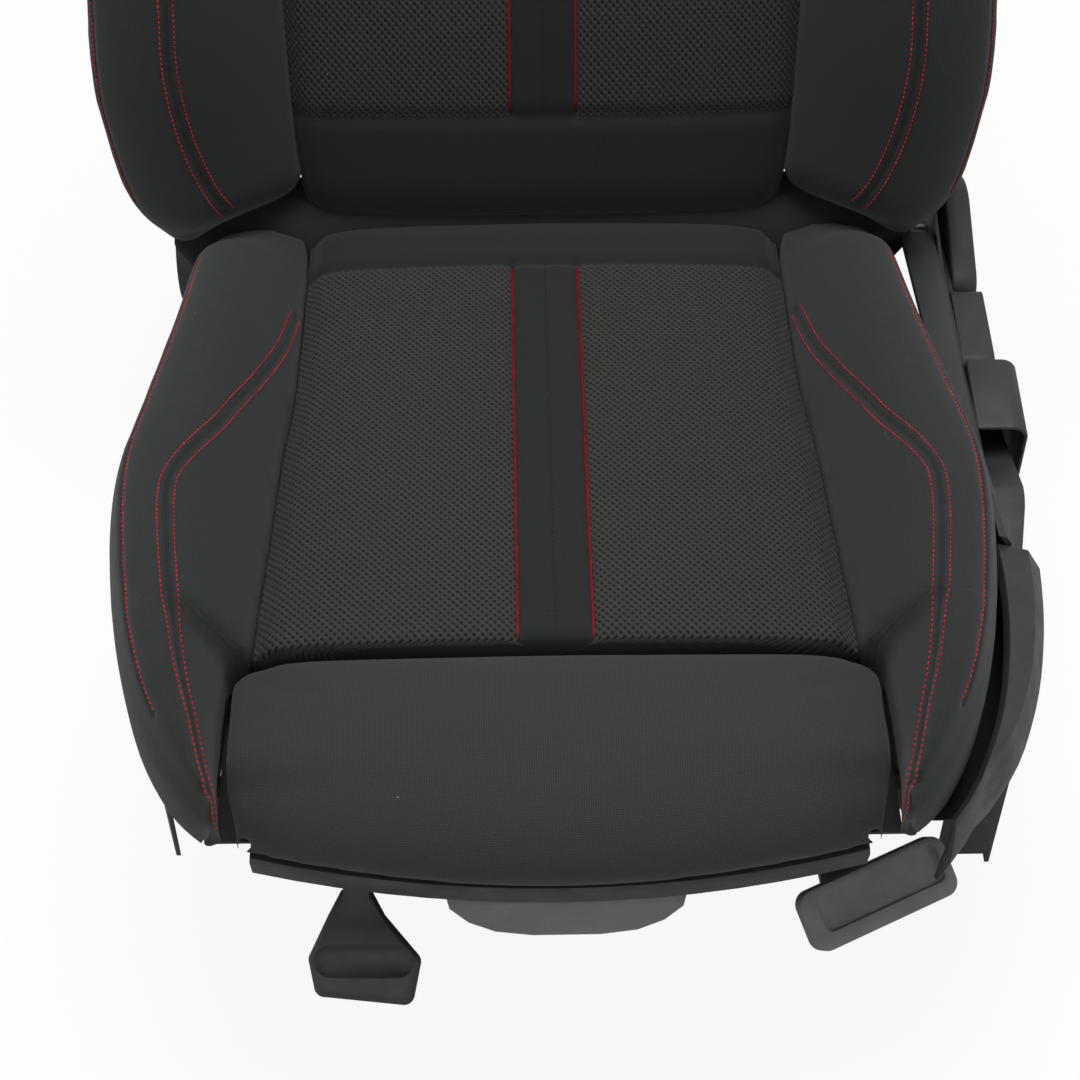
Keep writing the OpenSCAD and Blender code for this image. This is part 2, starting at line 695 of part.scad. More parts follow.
// Height of a side bolster's ridge along the cushion
function ridge(y) = bolster_h + along([[-322, -72], [-310, -52], [-290, -33], [-262, -20], [-200, -7],
    [-100, 0],
    [0, -2], [100, -10], [180, -24], [204, -42], [240, -56]], y);
function cushion_ring(y) =
    let (inner = y < thigh_back + 1 ? thigh_half + soft_gap + 0.5 : insert_w(y),
        w = max(cushion_w(y), inner + 12),
        top = ridge(y), crest = inner + 0.6 * (w - inner),
        low = y < -290 ? foam_low + (-290 - y) * 0.5 : foam_low,
        skirt = y < -290 ? foam_low - 10 : foam_low - 14)
    concat([[inner, y, low], [inner, y, min(-4, top - 2)]],
        [for (t = [0.12, 0.35, 0.6, 0.8, 1]) [inner + (crest - inner) * t, y,
            -4 + (top + 4) * sin(90 * pow(t, 1.15))]],
        [for (a = [20:20:80]) [crest + (w - crest) * sin(a), y, top - 24 * (1 - cos(a))]],
        [[w + 1, y, top - 26], [w + 5, y, (top - 26) * 0.55 - 10], [w + 4, y, skirt + 12], [w - 5, y, skirt],
         [w - 9, y, low]]);
module cushion_bolster_right() {
    stations = concat([-322, -316], steps(-306, -195, 5), [thigh_back + 0.9, thigh_back + 1.1],
        steps(-165, 150, 9),
        [172, 190, 204, 218, 236]);
    color([0.14, 0.15, 0.15]) cushion_place() difference() {
        skin([for (y = stations) cushion_ring(y)]);
        foam_clear();
    }
}
module cushion_bolster_left() { mirror([1, 0, 0]) cushion_bolster_right(); }

// ---- tilt lever ----
module tilt_lever() {
    color([0.13, 0.13, 0.13]) seat() difference() {
        union() {
            xrod(18, tilt_x - bracket_gap / 2 + plate_gap, tilt_x + bracket_gap / 2 - plate_gap, tilt_y,
                tilt_z);
            hull() {
                xrod(12, tilt_x - 6, tilt_x + 6, tilt_y - 2, tilt_z - 3);
                xrod(10, tilt_x - 8, tilt_x + 8, -288, 153);
            }
            hull() {
                xrod(11, tilt_x - 9, tilt_x + 9, -288, 152);
                xrod(12, tilt_x - 17, tilt_x + 17, -302, 145);
            }
            hull() {
                xrod(12, tilt_x - 17, tilt_x + 17, -302, 145);
                for (p = [[-143, -320, 137], [-89, -322, 136], [-140, -332, 126], [-93, -337, 124]])
                    translate(p) sphere(d = 13, $fn = 24);
            }
        }
        hull() for (x = [-136, -97]) translate([x, -329, 149]) sphere(d = 28, $fn = 24);
        xrod(tilt_pin_d + 2 * pin_fit, tilt_x - 20, tilt_x + 20, tilt_y, tilt_z);
    }
}

// ---- thigh support ----
module thigh_carrier() {
    color("dimgray") cushion_place() difference() {
        union() {
            block([-165, ear_front, carrier_z], [165, -192, carrier_z + 3]);
            both() for (y = [ear_front, -196])
                block([rod_x - 10, y, rod_z - 6], [rod_x + 10, y + 4, carrier_z + 1]);
        }
        both() translate([rod_x, -330, rod_z]) rotate([-90, 0, 0]) cylinder(h = 160, d = rod_d);
    }
}
module thigh_rods() {
    color("silver") cushion_place() both() translate([rod_x, ear_front, rod_z]) rotate([-90, 0, 0])
        cylinder(h = guide_rear + 18 - ear_front + thigh_travel, d = rod_d);
}
function front_bow(x) = 27 * pow(x / 185, 2);
module thigh_pad() {
    low = carrier_z + 3 + seat_gap;
    top = -2;
    color([0.15, 0.15, 0.14]) cushion_place()
        skin([for (x = [-thigh_half, -189, -180, -160, -130, -90, -45, 0, 45, 90, 130, 160, 180, 189,
            thigh_half])
            let (a = abs(x) / thigh_half, f = -330 + front_bow(x), b = thigh_back - 9 * pow(a, 12),
                z = top + 5 * (1 - a * a) - 7 * pow(a, 14), e = 8 * pow(a, 16))
            [[x, b - e, low + e], [x, b - e, z - 12], [x, b - 2, z - 4], [x, b - 8, z], [x, -225, z + 1],
             [x, -262, z], [x, -285, z - 4], [x, f + 26, z - 12], [x, f + 10, z - 24], [x, f + 2 + e, z - 38],
             [x, f + 1 + e, z - 48], [x, f + 9, low - 8], [x, f + 20, low - 9], [x, ear_front - 1.5, low - 6],
             [x, ear_front - 1, low + e]]]);
}
module thigh_shell() {
    t = 2.5;
    side = 178;
    color([0.12, 0.12, 0.12]) cushion_place() union() {
        skin([for (x = steps(-side, side, 14))
            let (f = -330 + front_bow(x), z = carrier_z - 7)
            [[x, f + 8, z], [x, f + 6, z - 2], [x, f + 12, z - 18], [x, f + 21, z - 29], [x, f + 34, z - 31],
             [x, f + 34, z - 31 + t], [x, f + 22, z - 29 + t], [x, f + 14, z - 17], [x, f + 9, z - 3],
                 [x, f + 16, z]]]);
        both() block([rod_x - 10, -330 + front_bow(rod_x) + 12, carrier_z - 7 - t],
            [rod_x + 10, ear_front, carrier_z - 7]);
    }
}
module handle_pin() {
    x0 = handle_x - handle_half;
    x1 = handle_x + handle_half;
    y = handle_y * cos(cushion_rake) - (handle_z - cushion_h) * sin(cushion_rake);
    z = handle_y * sin(cushion_rake) + (handle_z - cushion_h) * cos(cushion_rake);
    color("silver") cushion_place() union() {
        xrod(6, x0 - 5, x1 + 5, y, z);
        for (x = [x0 - 4, x1 + 1])
            xplate(x, x + 3) polygon([[y - 6, z - 5], [y + 6, z - 5], [y + 6, z + 6], [pan_front - 2, z + 14],
                [pan_front - 2, carrier_z], [ear_front, carrier_z], [ear_front, z + 8]]);
    }
}
module thigh_handle() {
    color([0.15, 0.15, 0.15]) seat() difference() {
        hull() {
            xrod(10, handle_x - handle_half + 0.3, handle_x + handle_half - 0.3, handle_y, handle_z);
            xrod(7, handle_x - 69, handle_x + 69, -302, 169);
            xrod(7, handle_x - 58, handle_x + 58, -306, 160);
            xrod(7, handle_x - 42, handle_x + 42, -309, 154);
            xrod(7, handle_x - 20, handle_x + 20, -310, 151);
        }
        hull() {
            xrod(14, handle_x - 56, handle_x + 56, -293, 158);
            xrod(10, handle_x - 40, handle_x + 40, -297, 148);
        }
        xrod(6 + 2 * pin_fit, handle_x - 90, handle_x + 90, handle_y, handle_z);
    }
}

// ---- backrest ----
// Half width, reach of the bolsters and face of the backrest along its height
function back_w(s) = back_half + along([[-24, -40], [0, -24], [30, -14], [65, -7], [110, -1], [170, 0],
    [300, -9],
    [420, -31], [back_l - 112, -53], [back_l - 52, -86], [back_l - 17, -128], [back_l, -160]], s);
function reach(s) = wing_reach * along([[-24, 0.06], [0, 0.16], [60, 0.55], [120, 0.86], [200, 1], [300, 0.95],
    [420, 0.7], [back_l - 112, 0.42], [back_l - 52, 0.2], [back_l, 0.05]], s);
function face(s) = along([[-10, -16], [4, -5], [24, 1], [120, 5], [240, 1], [430, 0], [back_l, -8]], s);
function back_insert_w(s) =
    along([[-10, 160], [20, 166], [80, 171], [200, 173], [330, 170], [shoulder_start, 160]], s);
foam_back = 50;
member_top = back_l - 120;
shoulder_start = back_l - 172;
shoulder_top = back_l - 28;
brace_y = 58;
module back_member() {
    lobe = recliner_d / 2 + 1;
    back_place() difference() {
        union() {
            xplate(member_x, member_x + member_t) union() {
                translate([face_ahead, -face_up]) circle(lobe);
                polygon([[26, -30], [face_ahead + 30, -30], [72, 60], [66, member_top], [30, member_top],
                    [24, 60]]);
            }
            xplate(member_x - 8, member_x + member_t) union() {
                polygon([[24, 60], [24 + member_t, 60], [30 + member_t, member_top], [30, member_top]]);
                polygon([[72 - member_t, 60], [72, 60], [66, member_top], [66 - member_t, member_top]]);
            }
            xrod(recliner_d - 4, recliner_up_x, member_x, face_ahead, -face_up);
        }
        xrod(boss_d + 2 * pin_fit, recliner_up_x - 1, member_x + member_t + 1, face_ahead, -face_up);
    }
}
module back_member_right() { color("dimgray") back_member(); }
module back_member_left() { color("dimgray") mirror([1, 0, 0]) back_member(); }
top_tube_z = back_l - 142;
top_tube_d = 19;
top_tube_y = post_y + 10 + top_tube_d / 2;
module back_braces() {
    color("dimgray") back_place() union() {
        xrod(top_tube_d, -member_x, member_x, top_tube_y, top_tube_z);
        block([-member_x, brace_y, 64], [member_x, brace_y + 2.5, 124]);
        block([-member_x, brace_y, 64], [member_x, brace_y + 10, 66.5]);
        block([-member_x, brace_y, 121.5], [member_x, brace_y + 10, 124]);
    }
}
spring_top = shoulder_start - 30;
module back_springs() {
    wire = 3.6;
    y = foam_back + 0.5 + wire / 2;
    color("silver") back_place() union() {
        for (s = steps(150, spring_top, 5)) xrod(wire, -member_x, member_x, y, s);
        for (x = [-150:60:150]) translate([x, y, 145]) cylinder(h = spring_top - 140, d = wire, $fn = 24);
    }
}
module back_insert() {
    stations = concat([-8, 0, 12, 30, 50, mesh_start - 8, mesh_start, mesh_start + 8],
        steps(110, shoulder_start - seat_gap, 8));
    color([0.13, 0.13, 0.12]) back_place()
        skin([for (s = stations)
            let (w = back_insert_w(s) - seat_gap, low = s < 5 ? 30 : foam_back,
                cut = groove(s - mesh_start, 8, channel_d),
                xs = [-w, -0.93 * w, -0.6 * w, -0.3 * w, -strip_half - 7, -strip_half, -strip_half + 7, 0,
                    strip_half - 7, strip_half, strip_half + 7, 0.3 * w, 0.6 * w, 0.93 * w, w])
            concat([for (x = xs) [x, cut + (s > mesh_start ? welts(x) : 0) - crown(x, w, 5) - face(s), s]],
                [[w - 3, low, s], [3 - w, low, s]])]);
}
function back_ring(s) =
    let (inner = max(back_insert_w(s), along([[-24, 256], [0, 244], [14, 205], [24, 172], [40, 166]], s)),
        w = back_w(s),
        p = reach(s), crest = inner + 0.66 * (w - inner), f = face(s),
            hook = max(member_x + member_t + 2, inner + 1))
    concat([[inner, 20, s], [inner, 4 - f, s]],
        [for (t = [0.12, 0.35, 0.6, 0.8, 1]) [inner + (crest - inner) * t,
            4 - f - (p + 4) * sin(90 * pow(t, 1.15)), s]],
        [for (a = [20:20:80]) [crest + (w - crest) * sin(a), -f - p + 32 * (1 - cos(a)), s]],
        [[w, -f - p * 0.6 + 26, s], [w - 2, 30, s], [w - 9, 58, s], [w - 20, 74, s], [hook + 3, 78, s],
         [hook, 74, s], [hook, 20, s]]);
module back_bolster_right() {
    stations = concat([-24, -14, 0, 14, 24, 40], steps(62, shoulder_start - seat_gap, 13));
    color([0.14, 0.15, 0.15]) back_place() difference() {
        skin([for (s = stations) back_ring(s)]);
        xrod(2 * foam_cut - 3, 100, 400, face_ahead, -face_up);
    }
}
module back_bolster_left() { mirror([1, 0, 0]) back_bolster_right(); }
module shoulder_pad() {
    hole = 24;
    function front(x, s) =
        let (w = back_w(s), inner = back_insert_w(min(s, shoulder_start)) * (s > back_l - 52 ? 0.8 : 1),
            a = abs(x),
            crest = inner + 0.66 * (w - inner), t = (a - inner) / max(crest - inner, 1),
                u = min(max((a - crest) / max(w - crest, 1), 0), 1))
        -face(s) - (a <= inner ? 0 : a <= crest ? reach(s) * sin(90 * min(1, pow(max(t, 0), 1.15)))
            : reach(s) - 32 * (1 - sqrt(1 - u * u * 0.98)));
    color([0.14, 0.15, 0.15]) back_place() difference() {
        skin([for (s = concat(steps(shoulder_start, shoulder_top, 9),
            [shoulder_top + 12, shoulder_top + 22, back_l]))
            let (w = back_w(s), e = max(0, s - shoulder_top) / 28.5, r = 10 - 10 * sqrt(1 - e * e),
                fr = [for (k = [-1, -0.985, -0.93, -0.84, -0.7, -0.5, -0.25, 0, 0.25, 0.5, 0.7, 0.84, 0.93,
                    0.985, 1])
                    [k * w, front(k * w, s) + r * (1 + 0.7 * k * k), s]])
            concat(fr, [[w - 3, 50, s], [w - 12, 66 - r, s], [w - 30, 78 - r, s], [30 - w, 78 - r, s],
                [12 - w, 66 - r, s], [3 - w, 50, s]])]);
        block([-member_x - member_t - 1, 12, shoulder_start - 1],
            [member_x + member_t + 1, 68, member_top + 4]);
        block([-200, 60, shoulder_start - 1], [200, 100, member_top]);
        both() translate([post_gauge / 2, post_y, member_top - 1]) cylinder(h = 160, d = hole);
    }
}
module back_shell() {
    t = 3;
    color([0.11, 0.11, 0.11]) back_place()
        skin([for (s = steps(16, shoulder_top, 16))
            let (w = back_w(s) - 30 - max(0, s - back_l + 112) * 0.1,
                ks = [-1, -0.9, -0.6, -0.3, 0, 0.3, 0.6, 0.9, 1])
            concat([for (k = ks) [k * w, 79 + 8 * (1 - pow(abs(k), 4)), s]],
                [for (i = [len(ks) - 1:-1:0]) [ks[i] * w, 79 + t + 10 * (1 - pow(abs(ks[i]), 4)), s]])]);
}

// ---- headrest ----
guide_d = 20;
collar_w = 40;
collar_t = 28;
button_travel = 4;
button_x = post_gauge / 2 + post_d / 2 + 2.5;
button_w = 10;
button_h = 6;
module headrest_guides() {
    module guide() {
        difference() {
            union() {
                translate([post_gauge / 2, post_y, top_tube_z - 8])
                    cylinder(h = back_l - top_tube_z + 8 + seat_gap, d = guide_d);
                translate([post_gauge / 2, post_y, back_l + seat_gap]) linear_extrude(collar_h)
                    offset(6) square([collar_w - 12, collar_t - 12], center = true);
            }
            translate([post_gauge / 2, post_y, top_tube_z - 20]) cylinder(h = 300, d = post_d + 2 * pin_fit);
        }
    }
    color([0.12, 0.12, 0.12]) back_place() {
        mirror([1, 0, 0]) guide();
        difference() {
            guide();
            block([button_x, post_y - button_w / 2 - seat_gap,
                back_l + seat_gap + collar_h / 2 - button_h / 2 - seat_gap],
                [200, post_y + button_w / 2 + seat_gap, back_l + seat_gap + collar_h / 2 + button_h / 2 + seat_gap]);
        }
    }
}
module headrest_button() {
    color([0.2, 0.2, 0.2]) back_place()
        block([button_x + button_travel + seat_gap, post_y - button_w / 2,
            back_l + seat_gap + collar_h / 2 - button_h / 2],
            [post_gauge / 2 + collar_w / 2 + button_travel + seat_gap, post_y + button_w / 2,
             back_l + seat_gap + collar_h / 2 + button_h / 2]);
}
module headrest_posts() {
    color("gainsboro") back_place() both() translate([post_gauge / 2, post_y, top_tube_z + 10])
        cylinder(h = headrest_foot + 90 - top_tube_z - 10, d = post_d);
}
function head_w(u) = headrest_w / 2 * along([[0, 0.72], [0.1, 0.86], [0.3, 0.97], [0.55, 1], [0.8, 0.95],
    [0.93, 0.84],
    [1, 0.66]], u);
function head_t(u) = headrest_t / 2 * along([[0, 0.5], [0.1, 0.76], [0.35, 0.98], [0.6, 1], [0.85, 0.84],
    [0.95, 0.62],
    [1, 0.36]], u);
module headrest_pad() {
    corner = 0.42;
    color([0.14, 0.15, 0.15]) back_place() difference() {
        skin([for (u = [0, 0.03, 0.1, 0.2, 0.35, 0.5, 0.65, 0.8, 0.9, 0.97, 1])
            [for (a = [0:15:345])
                let (c = cos(a), n = sin(a))
                [sign(c) * pow(abs(c), corner) * head_w(u),
                 post_y - 12 + 10 * u + sign(n) * pow(abs(n), 0.62) * head_t(u),
                     headrest_foot + u * headrest_h]]]);
        both() translate([post_gauge / 2, post_y, headrest_foot - 5]) cylinder(h = 96,
            d = post_d + 2 * seat_gap);
    }
}

lower_rail_left();
lower_rail_right();
rail_feet();
slider_left();
slider_right();
slide_glides();
slider_pins();
release_arm_left();
release_arm_right();
release_tube();
slide_release_paddle();
front_link_left();
front_link_right();
front_torque_tube();
rear_link_left();
rear_link_right();
rear_torque_tube();
side_frame_left();
side_frame_right();
cross_tubes();
recliner_left();
recliner_right();
height_pump();
side_trim();
front_valance();
rail_skirt();
side_trim_left();
lever_shroud();
recliner_cover_right();
recliner_cover_left();
height_lever();
recline_shaft();
recline_lever();
cushion_pan();
pan_pins();
thigh_guides();
tilt_bracket();
cushion_insert();
cushion_bolster_left();
cushion_bolster_right();
tilt_lever();
thigh_carrier();
thigh_rods();
thigh_pad();
thigh_shell();
handle_pin();
thigh_handle();
back_member_left();
back_member_right();
back_braces();
back_springs();
back_insert();
back_bolster_left();
back_bolster_right();
shoulder_pad();
back_shell();
headrest_guides();
headrest_button();
headrest_posts();
headrest_pad();
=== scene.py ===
import math

import bpy
import numpy as np
from mathutils import Matrix, Vector
from mathutils.bvhtree import BVHTree
from mathutils.interpolate import poly_3d_calc
from mathutils.kdtree import KDTree


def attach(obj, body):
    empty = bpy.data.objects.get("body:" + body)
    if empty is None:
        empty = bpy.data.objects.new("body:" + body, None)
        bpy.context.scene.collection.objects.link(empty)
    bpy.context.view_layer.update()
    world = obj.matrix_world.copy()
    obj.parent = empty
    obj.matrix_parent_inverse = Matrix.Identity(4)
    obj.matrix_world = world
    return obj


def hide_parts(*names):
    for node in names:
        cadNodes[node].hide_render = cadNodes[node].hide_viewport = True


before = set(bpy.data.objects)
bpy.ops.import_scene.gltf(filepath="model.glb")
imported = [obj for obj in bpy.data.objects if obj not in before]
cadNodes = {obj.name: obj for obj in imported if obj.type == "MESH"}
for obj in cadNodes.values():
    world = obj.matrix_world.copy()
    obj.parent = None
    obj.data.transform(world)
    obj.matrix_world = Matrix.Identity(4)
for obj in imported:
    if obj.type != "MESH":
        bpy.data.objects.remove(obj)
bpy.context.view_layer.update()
mm = 0.001
scene = bpy.context.scene
scene.view_settings.view_transform = "Standard"
print("frame loaded:", len(cadNodes), "nodes")

# places of the cushion and the backrest, as the solids have them
seatPlace = Matrix.Translation((0, -0.110, 0))
cushionPlace = (seatPlace @ Matrix.Translation((0, 0, 0.2405))
                @ Matrix.Rotation(math.radians(-7), 4, "X"))
backPlace = (seatPlace @ Matrix.Translation((0, 0.258, 0.168)) @ Matrix.Rotation(math.radians(-22), 4, "X")
             @ Matrix.Translation((0, -0.047, 0.039)))


# ---- camera, floor and light ----
view = {"target": (-0.008, -0.205, 0.252), "distance": 1.54, "elevation": 51.0, "azimuth": -1.0, "lens": 83.4}


def makeCamera(v):
    e, a = math.radians(v["elevation"]), math.radians(v["azimuth"])
    back = Vector((math.sin(a) * math.cos(e), -math.cos(a) * math.cos(e), math.sin(e)))
    data = bpy.data.cameras.new("seatCamera")
    data.lens = v["lens"]
    data.sensor_width = 36
    data.clip_end = 50
    cam = bpy.data.objects.new("seatCamera", data)
    scene.collection.objects.link(cam)
    cam.location = Vector(v["target"]) + back * v["distance"]
    cam.rotation_euler = back.to_track_quat("Z", "Y").to_euler()
    scene.camera = cam


studio = {"ambient": 0.10, "floor": (0.86, 0.86, 0.86),
          "lamps": [("topLamp", (0.0, 0.35, 2.6), (0.0, -0.1, 0.3), 1.5, 38),
                    ("frontLamp", (-0.3, -2.6, 1.9), (0.0, -0.2, 0.2), 1.5, 9),
                    ("leftLamp", (-2.1, -0.7, 1.0), (-0.1, -0.1, 0.2), 1.1, 5),
                    ("rightLamp", (2.2, -0.7, 1.0), (0.1, -0.1, 0.2), 1.1, 6)]}


def makeStudio(s):
    world = bpy.data.worlds.new("studioWorld")
    world.use_nodes = True
    scene.world = world
    n, l = world.node_tree.nodes, world.node_tree.links
    n.clear()
    out = n.new("ShaderNodeOutputWorld")
    ambient, white, mix = n.new("ShaderNodeBackground"), n.new("ShaderNodeBackground"), n.new("ShaderNodeMixShader")
    path, seen, lit = n.new("ShaderNodeLightPath"), n.new("ShaderNodeMath"), n.new("ShaderNodeMath")
    ambient.inputs["Strength"].default_value = s["ambient"]
    white.inputs["Strength"].default_value = 1
    seen.operation = lit.operation = "MAXIMUM"
    l.new(path.outputs["Is Camera Ray"], seen.inputs[0])
    l.new(path.outputs["Is Glossy Ray"], seen.inputs[1])
    l.new(seen.outputs[0], lit.inputs[0])
    l.new(path.outputs["Is Transmission Ray"], lit.inputs[1])
    l.new(lit.outputs[0], mix.inputs[0])
    l.new(ambient.outputs[0], mix.inputs[1])
    l.new(white.outputs[0], mix.inputs[2])
    l.new(mix.outputs[0], out.inputs[0])
    for name, place, aim, size, power in s["lamps"]:
        data = bpy.data.lights.new(name, "AREA")
        data.size, data.energy = size, power
        lamp = bpy.data.objects.new(name, data)
        scene.collection.objects.link(lamp)
        lamp.location = place
        lamp.rotation_euler = (Vector(place) - Vector(aim)).to_track_quat("Z", "Y").to_euler()
    bpy.ops.mesh.primitive_circle_add(vertices=96, radius=9, fill_type="NGON", location=(0, 0, 0))
    floor = bpy.context.object
    floor.name = "studioFloor"
    mat = bpy.data.materials.new("paleFloor")
    mat.use_nodes = True
    n, l = mat.node_tree.nodes, mat.node_tree.links
    base = n["Principled BSDF"]
    base.inputs["Base Color"].default_value = (*s["floor"], 1)
    base.inputs["Roughness"].default_value = 0.9
    glow, mix, path, share = (n.new("ShaderNodeEmission"), n.new("ShaderNodeMixShader"), n.new("ShaderNodeLightPath"),
                              n.new("ShaderNodeMath"))
    glow.inputs["Strength"].default_value = 1.06
    share.operation = "MULTIPLY"
    share.inputs[1].default_value = 0.86
    l.new(path.outputs["Is Camera Ray"], share.inputs[0])
    l.new(share.outputs[0], mix.inputs[0])
    l.new(base.outputs[0], mix.inputs[1])
    l.new(glow.outputs[0], mix.inputs[2])
    l.new(mix.outputs[0], n["Material Output"].inputs["Surface"])
    floor.data.materials.append(mat)


makeCamera(view)
makeStudio(studio)
print("camera, floor and light made")


# ---- shared shader groups ----
def wire(tree, node, name, value):
    if isinstance(value, bpy.types.NodeSocket):
        tree.links.new(value, node.inputs[name])
    elif value is not None:
        node.inputs[name].default_value = value


def calc(tree, operation, *values):
    node = tree.nodes.new("ShaderNodeMath")
    node.operation = operation
    for i, value in enumerate(values):
        wire(tree, node, i, value)
    return node.outputs[0]


def spread(tree, value, a, b, c, d):
    node = tree.nodes.new("ShaderNodeMapRange")
    wire(tree, node, "Value", value)
    for name, number in zip(("From Min", "From Max", "To Min", "To Max"), (a, b, c, d)):
        wire(tree, node, name, number)
    return node.outputs[0]


def noise(tree, vector, scale, detail=2.0, roughness=0.5):
    node = tree.nodes.new("ShaderNodeTexNoise")
    wire(tree, node, "Vector", vector)
    wire(tree, node, "Scale", scale)
    node.inputs["Detail"].default_value = detail
    node.inputs["Roughness"].default_value = roughness
    return node.outputs[0]


def mixColour(tree, share, a, b, blend="MIX"):
    node = tree.nodes.new("ShaderNodeMix")
    node.data_type = "RGBA"
    node.blend_type = blend
    wire(tree, node, 0, share)
    wire(tree, node, 6, a)
    wire(tree, node, 7, b)
    return node.outputs[2]


def newGroup(name, inputs, outputs):
    # an input is a vector without a value, a number or a colour
    group = bpy.data.node_groups.new(name, "ShaderNodeTree")
    for label, value in inputs.items():
        kind = "Vector" if value is None else "Float" if isinstance(value, float) else "Color"
        socket = group.interface.new_socket(name=label, in_out="INPUT", socket_type="NodeSocket" + kind)
        if value is not None:
            socket.default_value = value
    for label in outputs:
        kind = "Color" if label == "Colour" else "Float"
        group.interface.new_socket(name=label, in_out="OUTPUT", socket_type="NodeSocket" + kind)
    return group, group.nodes.new("NodeGroupInput").outputs, group.nodes.new("NodeGroupOutput").inputs


def weaveGroup():
    # two crossing yarns, with the pitch in metres
    g, i, o = newGroup("dotWeave", {"Vector": None, "Pitch": 0.0013, "Twist": 0.25}, ("Height", "Tone"))
    cells = g.nodes.new("ShaderNodeSeparateXYZ")
    g.links.new(i["Vector"], cells.inputs[0])
    wobble = spread(g, noise(g, i["Vector"], 420), 0, 1, -0.5, 0.5)
    wobble = calc(g, "MULTIPLY", wobble, i["Twist"])
    u = calc(g, "ADD", calc(g, "DIVIDE", cells.outputs[0], i["Pitch"]), wobble)
    v = calc(g, "ADD", calc(g, "DIVIDE", cells.outputs[1], i["Pitch"]), wobble)
    a = calc(g, "SINE", calc(g, "MULTIPLY", calc(g, "ADD", u, v), math.pi))
    b = calc(g, "SINE", calc(g, "MULTIPLY", calc(g, "SUBTRACT", u, v), math.pi))
    height = spread(g, calc(g, "MULTIPLY", a, b), -1, 1, 0, 1)
    g.links.new(height, o["Height"])
    yarn = noise(g, i["Vector"], 900, 1.0)
    g.links.new(calc(g, "MULTIPLY", height, spread(g, yarn, 0.3, 0.7, 0.6, 1.0)), o["Tone"])
    return g


def meshGroup():
    # staggered open cells of a spacer mesh, stronger along one diagonal; the cells are the mask for painted shade in
    # the holes
    g, i, o = newGroup("spacerMesh", {"Vector": None, "Width": 0.0025, "Length": 0.0028}, ("Height", "HoleShade"))
    cells = g.nodes.new("ShaderNodeSeparateXYZ")
    g.links.new(i["Vector"], cells.inputs[0])
    wobble = spread(g, noise(g, i["Vector"], 160), 0, 1, -0.12, 0.12)
    u = calc(g, "ADD", calc(g, "DIVIDE", cells.outputs[0], i["Width"]), wobble)
    v = calc(g, "ADD", calc(g, "DIVIDE", cells.outputs[1], i["Length"]), wobble)
    a = calc(g, "COSINE", calc(g, "MULTIPLY", calc(g, "ADD", u, v), math.pi))
    b = calc(g, "COSINE", calc(g, "MULTIPLY", calc(g, "SUBTRACT", u, v), math.pi))
    field = calc(g, "ADD", calc(g, "MULTIPLY", a, 0.58), calc(g, "MULTIPLY", b, 0.42))
    holeShade = spread(g, field, 0.05, 0.62, 0, 1)
    g.links.new(holeShade, o["HoleShade"])
    g.links.new(spread(g, field, -0.9, 0.7, 1, 0), o["Height"])
    return g


def wearGroup():
    # broad fading and a little lint
    g, i, o = newGroup("clothWear", {"Vector": None, "Colour": (0.05, 0.05, 0.05, 1), "Fade": 0.25, "Lint": 0.5},
                       ("Colour",))
    broad = spread(g, noise(g, i["Vector"], 7, 4), 0.3, 0.7, 0, 1)
    faded = mixColour(g, 1.0, i["Colour"], (1.35, 1.36, 1.34, 1), "MULTIPLY")
    colour = mixColour(g, calc(g, "MULTIPLY", broad, i["Fade"]), i["Colour"], faded)
    specks = g.nodes.new("ShaderNodeTexVoronoi")
    g.links.new(i["Vector"], specks.inputs["Vector"])
    specks.inputs["Scale"].default_value = 38
    dot = calc(g, "LESS_THAN", specks.outputs["Distance"], 0.022)
    rare = calc(g, "GREATER_THAN", noise(g, i["Vector"], 25, 0.0), 0.62)
    dot = calc(g, "MULTIPLY", calc(g, "MULTIPLY", dot, rare), i["Lint"])
    g.links.new(mixColour(g, dot, colour, (0.42, 0.42, 0.4, 1)), o["Colour"])
    return g


def grainGroup():
    # leather-like grain of a moulded trim, with rubbed patches
    g, i, o = newGroup("mouldedGrain", {"Vector": None, "Colour": (0.04, 0.04, 0.04, 1), "Size": 900.0, "Rub": 0.3},
                       ("Height", "Colour", "Roughness"))
    cells = g.nodes.new("ShaderNodeTexVoronoi")
    cells.feature = "DISTANCE_TO_EDGE"
    g.links.new(i["Vector"], cells.inputs["Vector"])
    g.links.new(i["Size"], cells.inputs["Scale"])
    g.links.new(spread(g, cells.outputs["Distance"], 0, 0.16, 0, 1), o["Height"])
    rub = spread(g, noise(g, i["Vector"], 22, 5, 0.6), 0.42, 0.72, 0, 1)
    rub = calc(g, "MULTIPLY", rub, i["Rub"])
    lighter = mixColour(g, 1.0, i["Colour"], (1.7, 1.7, 1.66, 1), "MULTIPLY")
    g.links.new(mixColour(g, rub, i["Colour"], lighter), o["Colour"])
    g.links.new(spread(g, noise(g, i["Vector"], 60, 3), 0.3, 0.7, 0.46, 0.62), o["Roughness"])
    return g


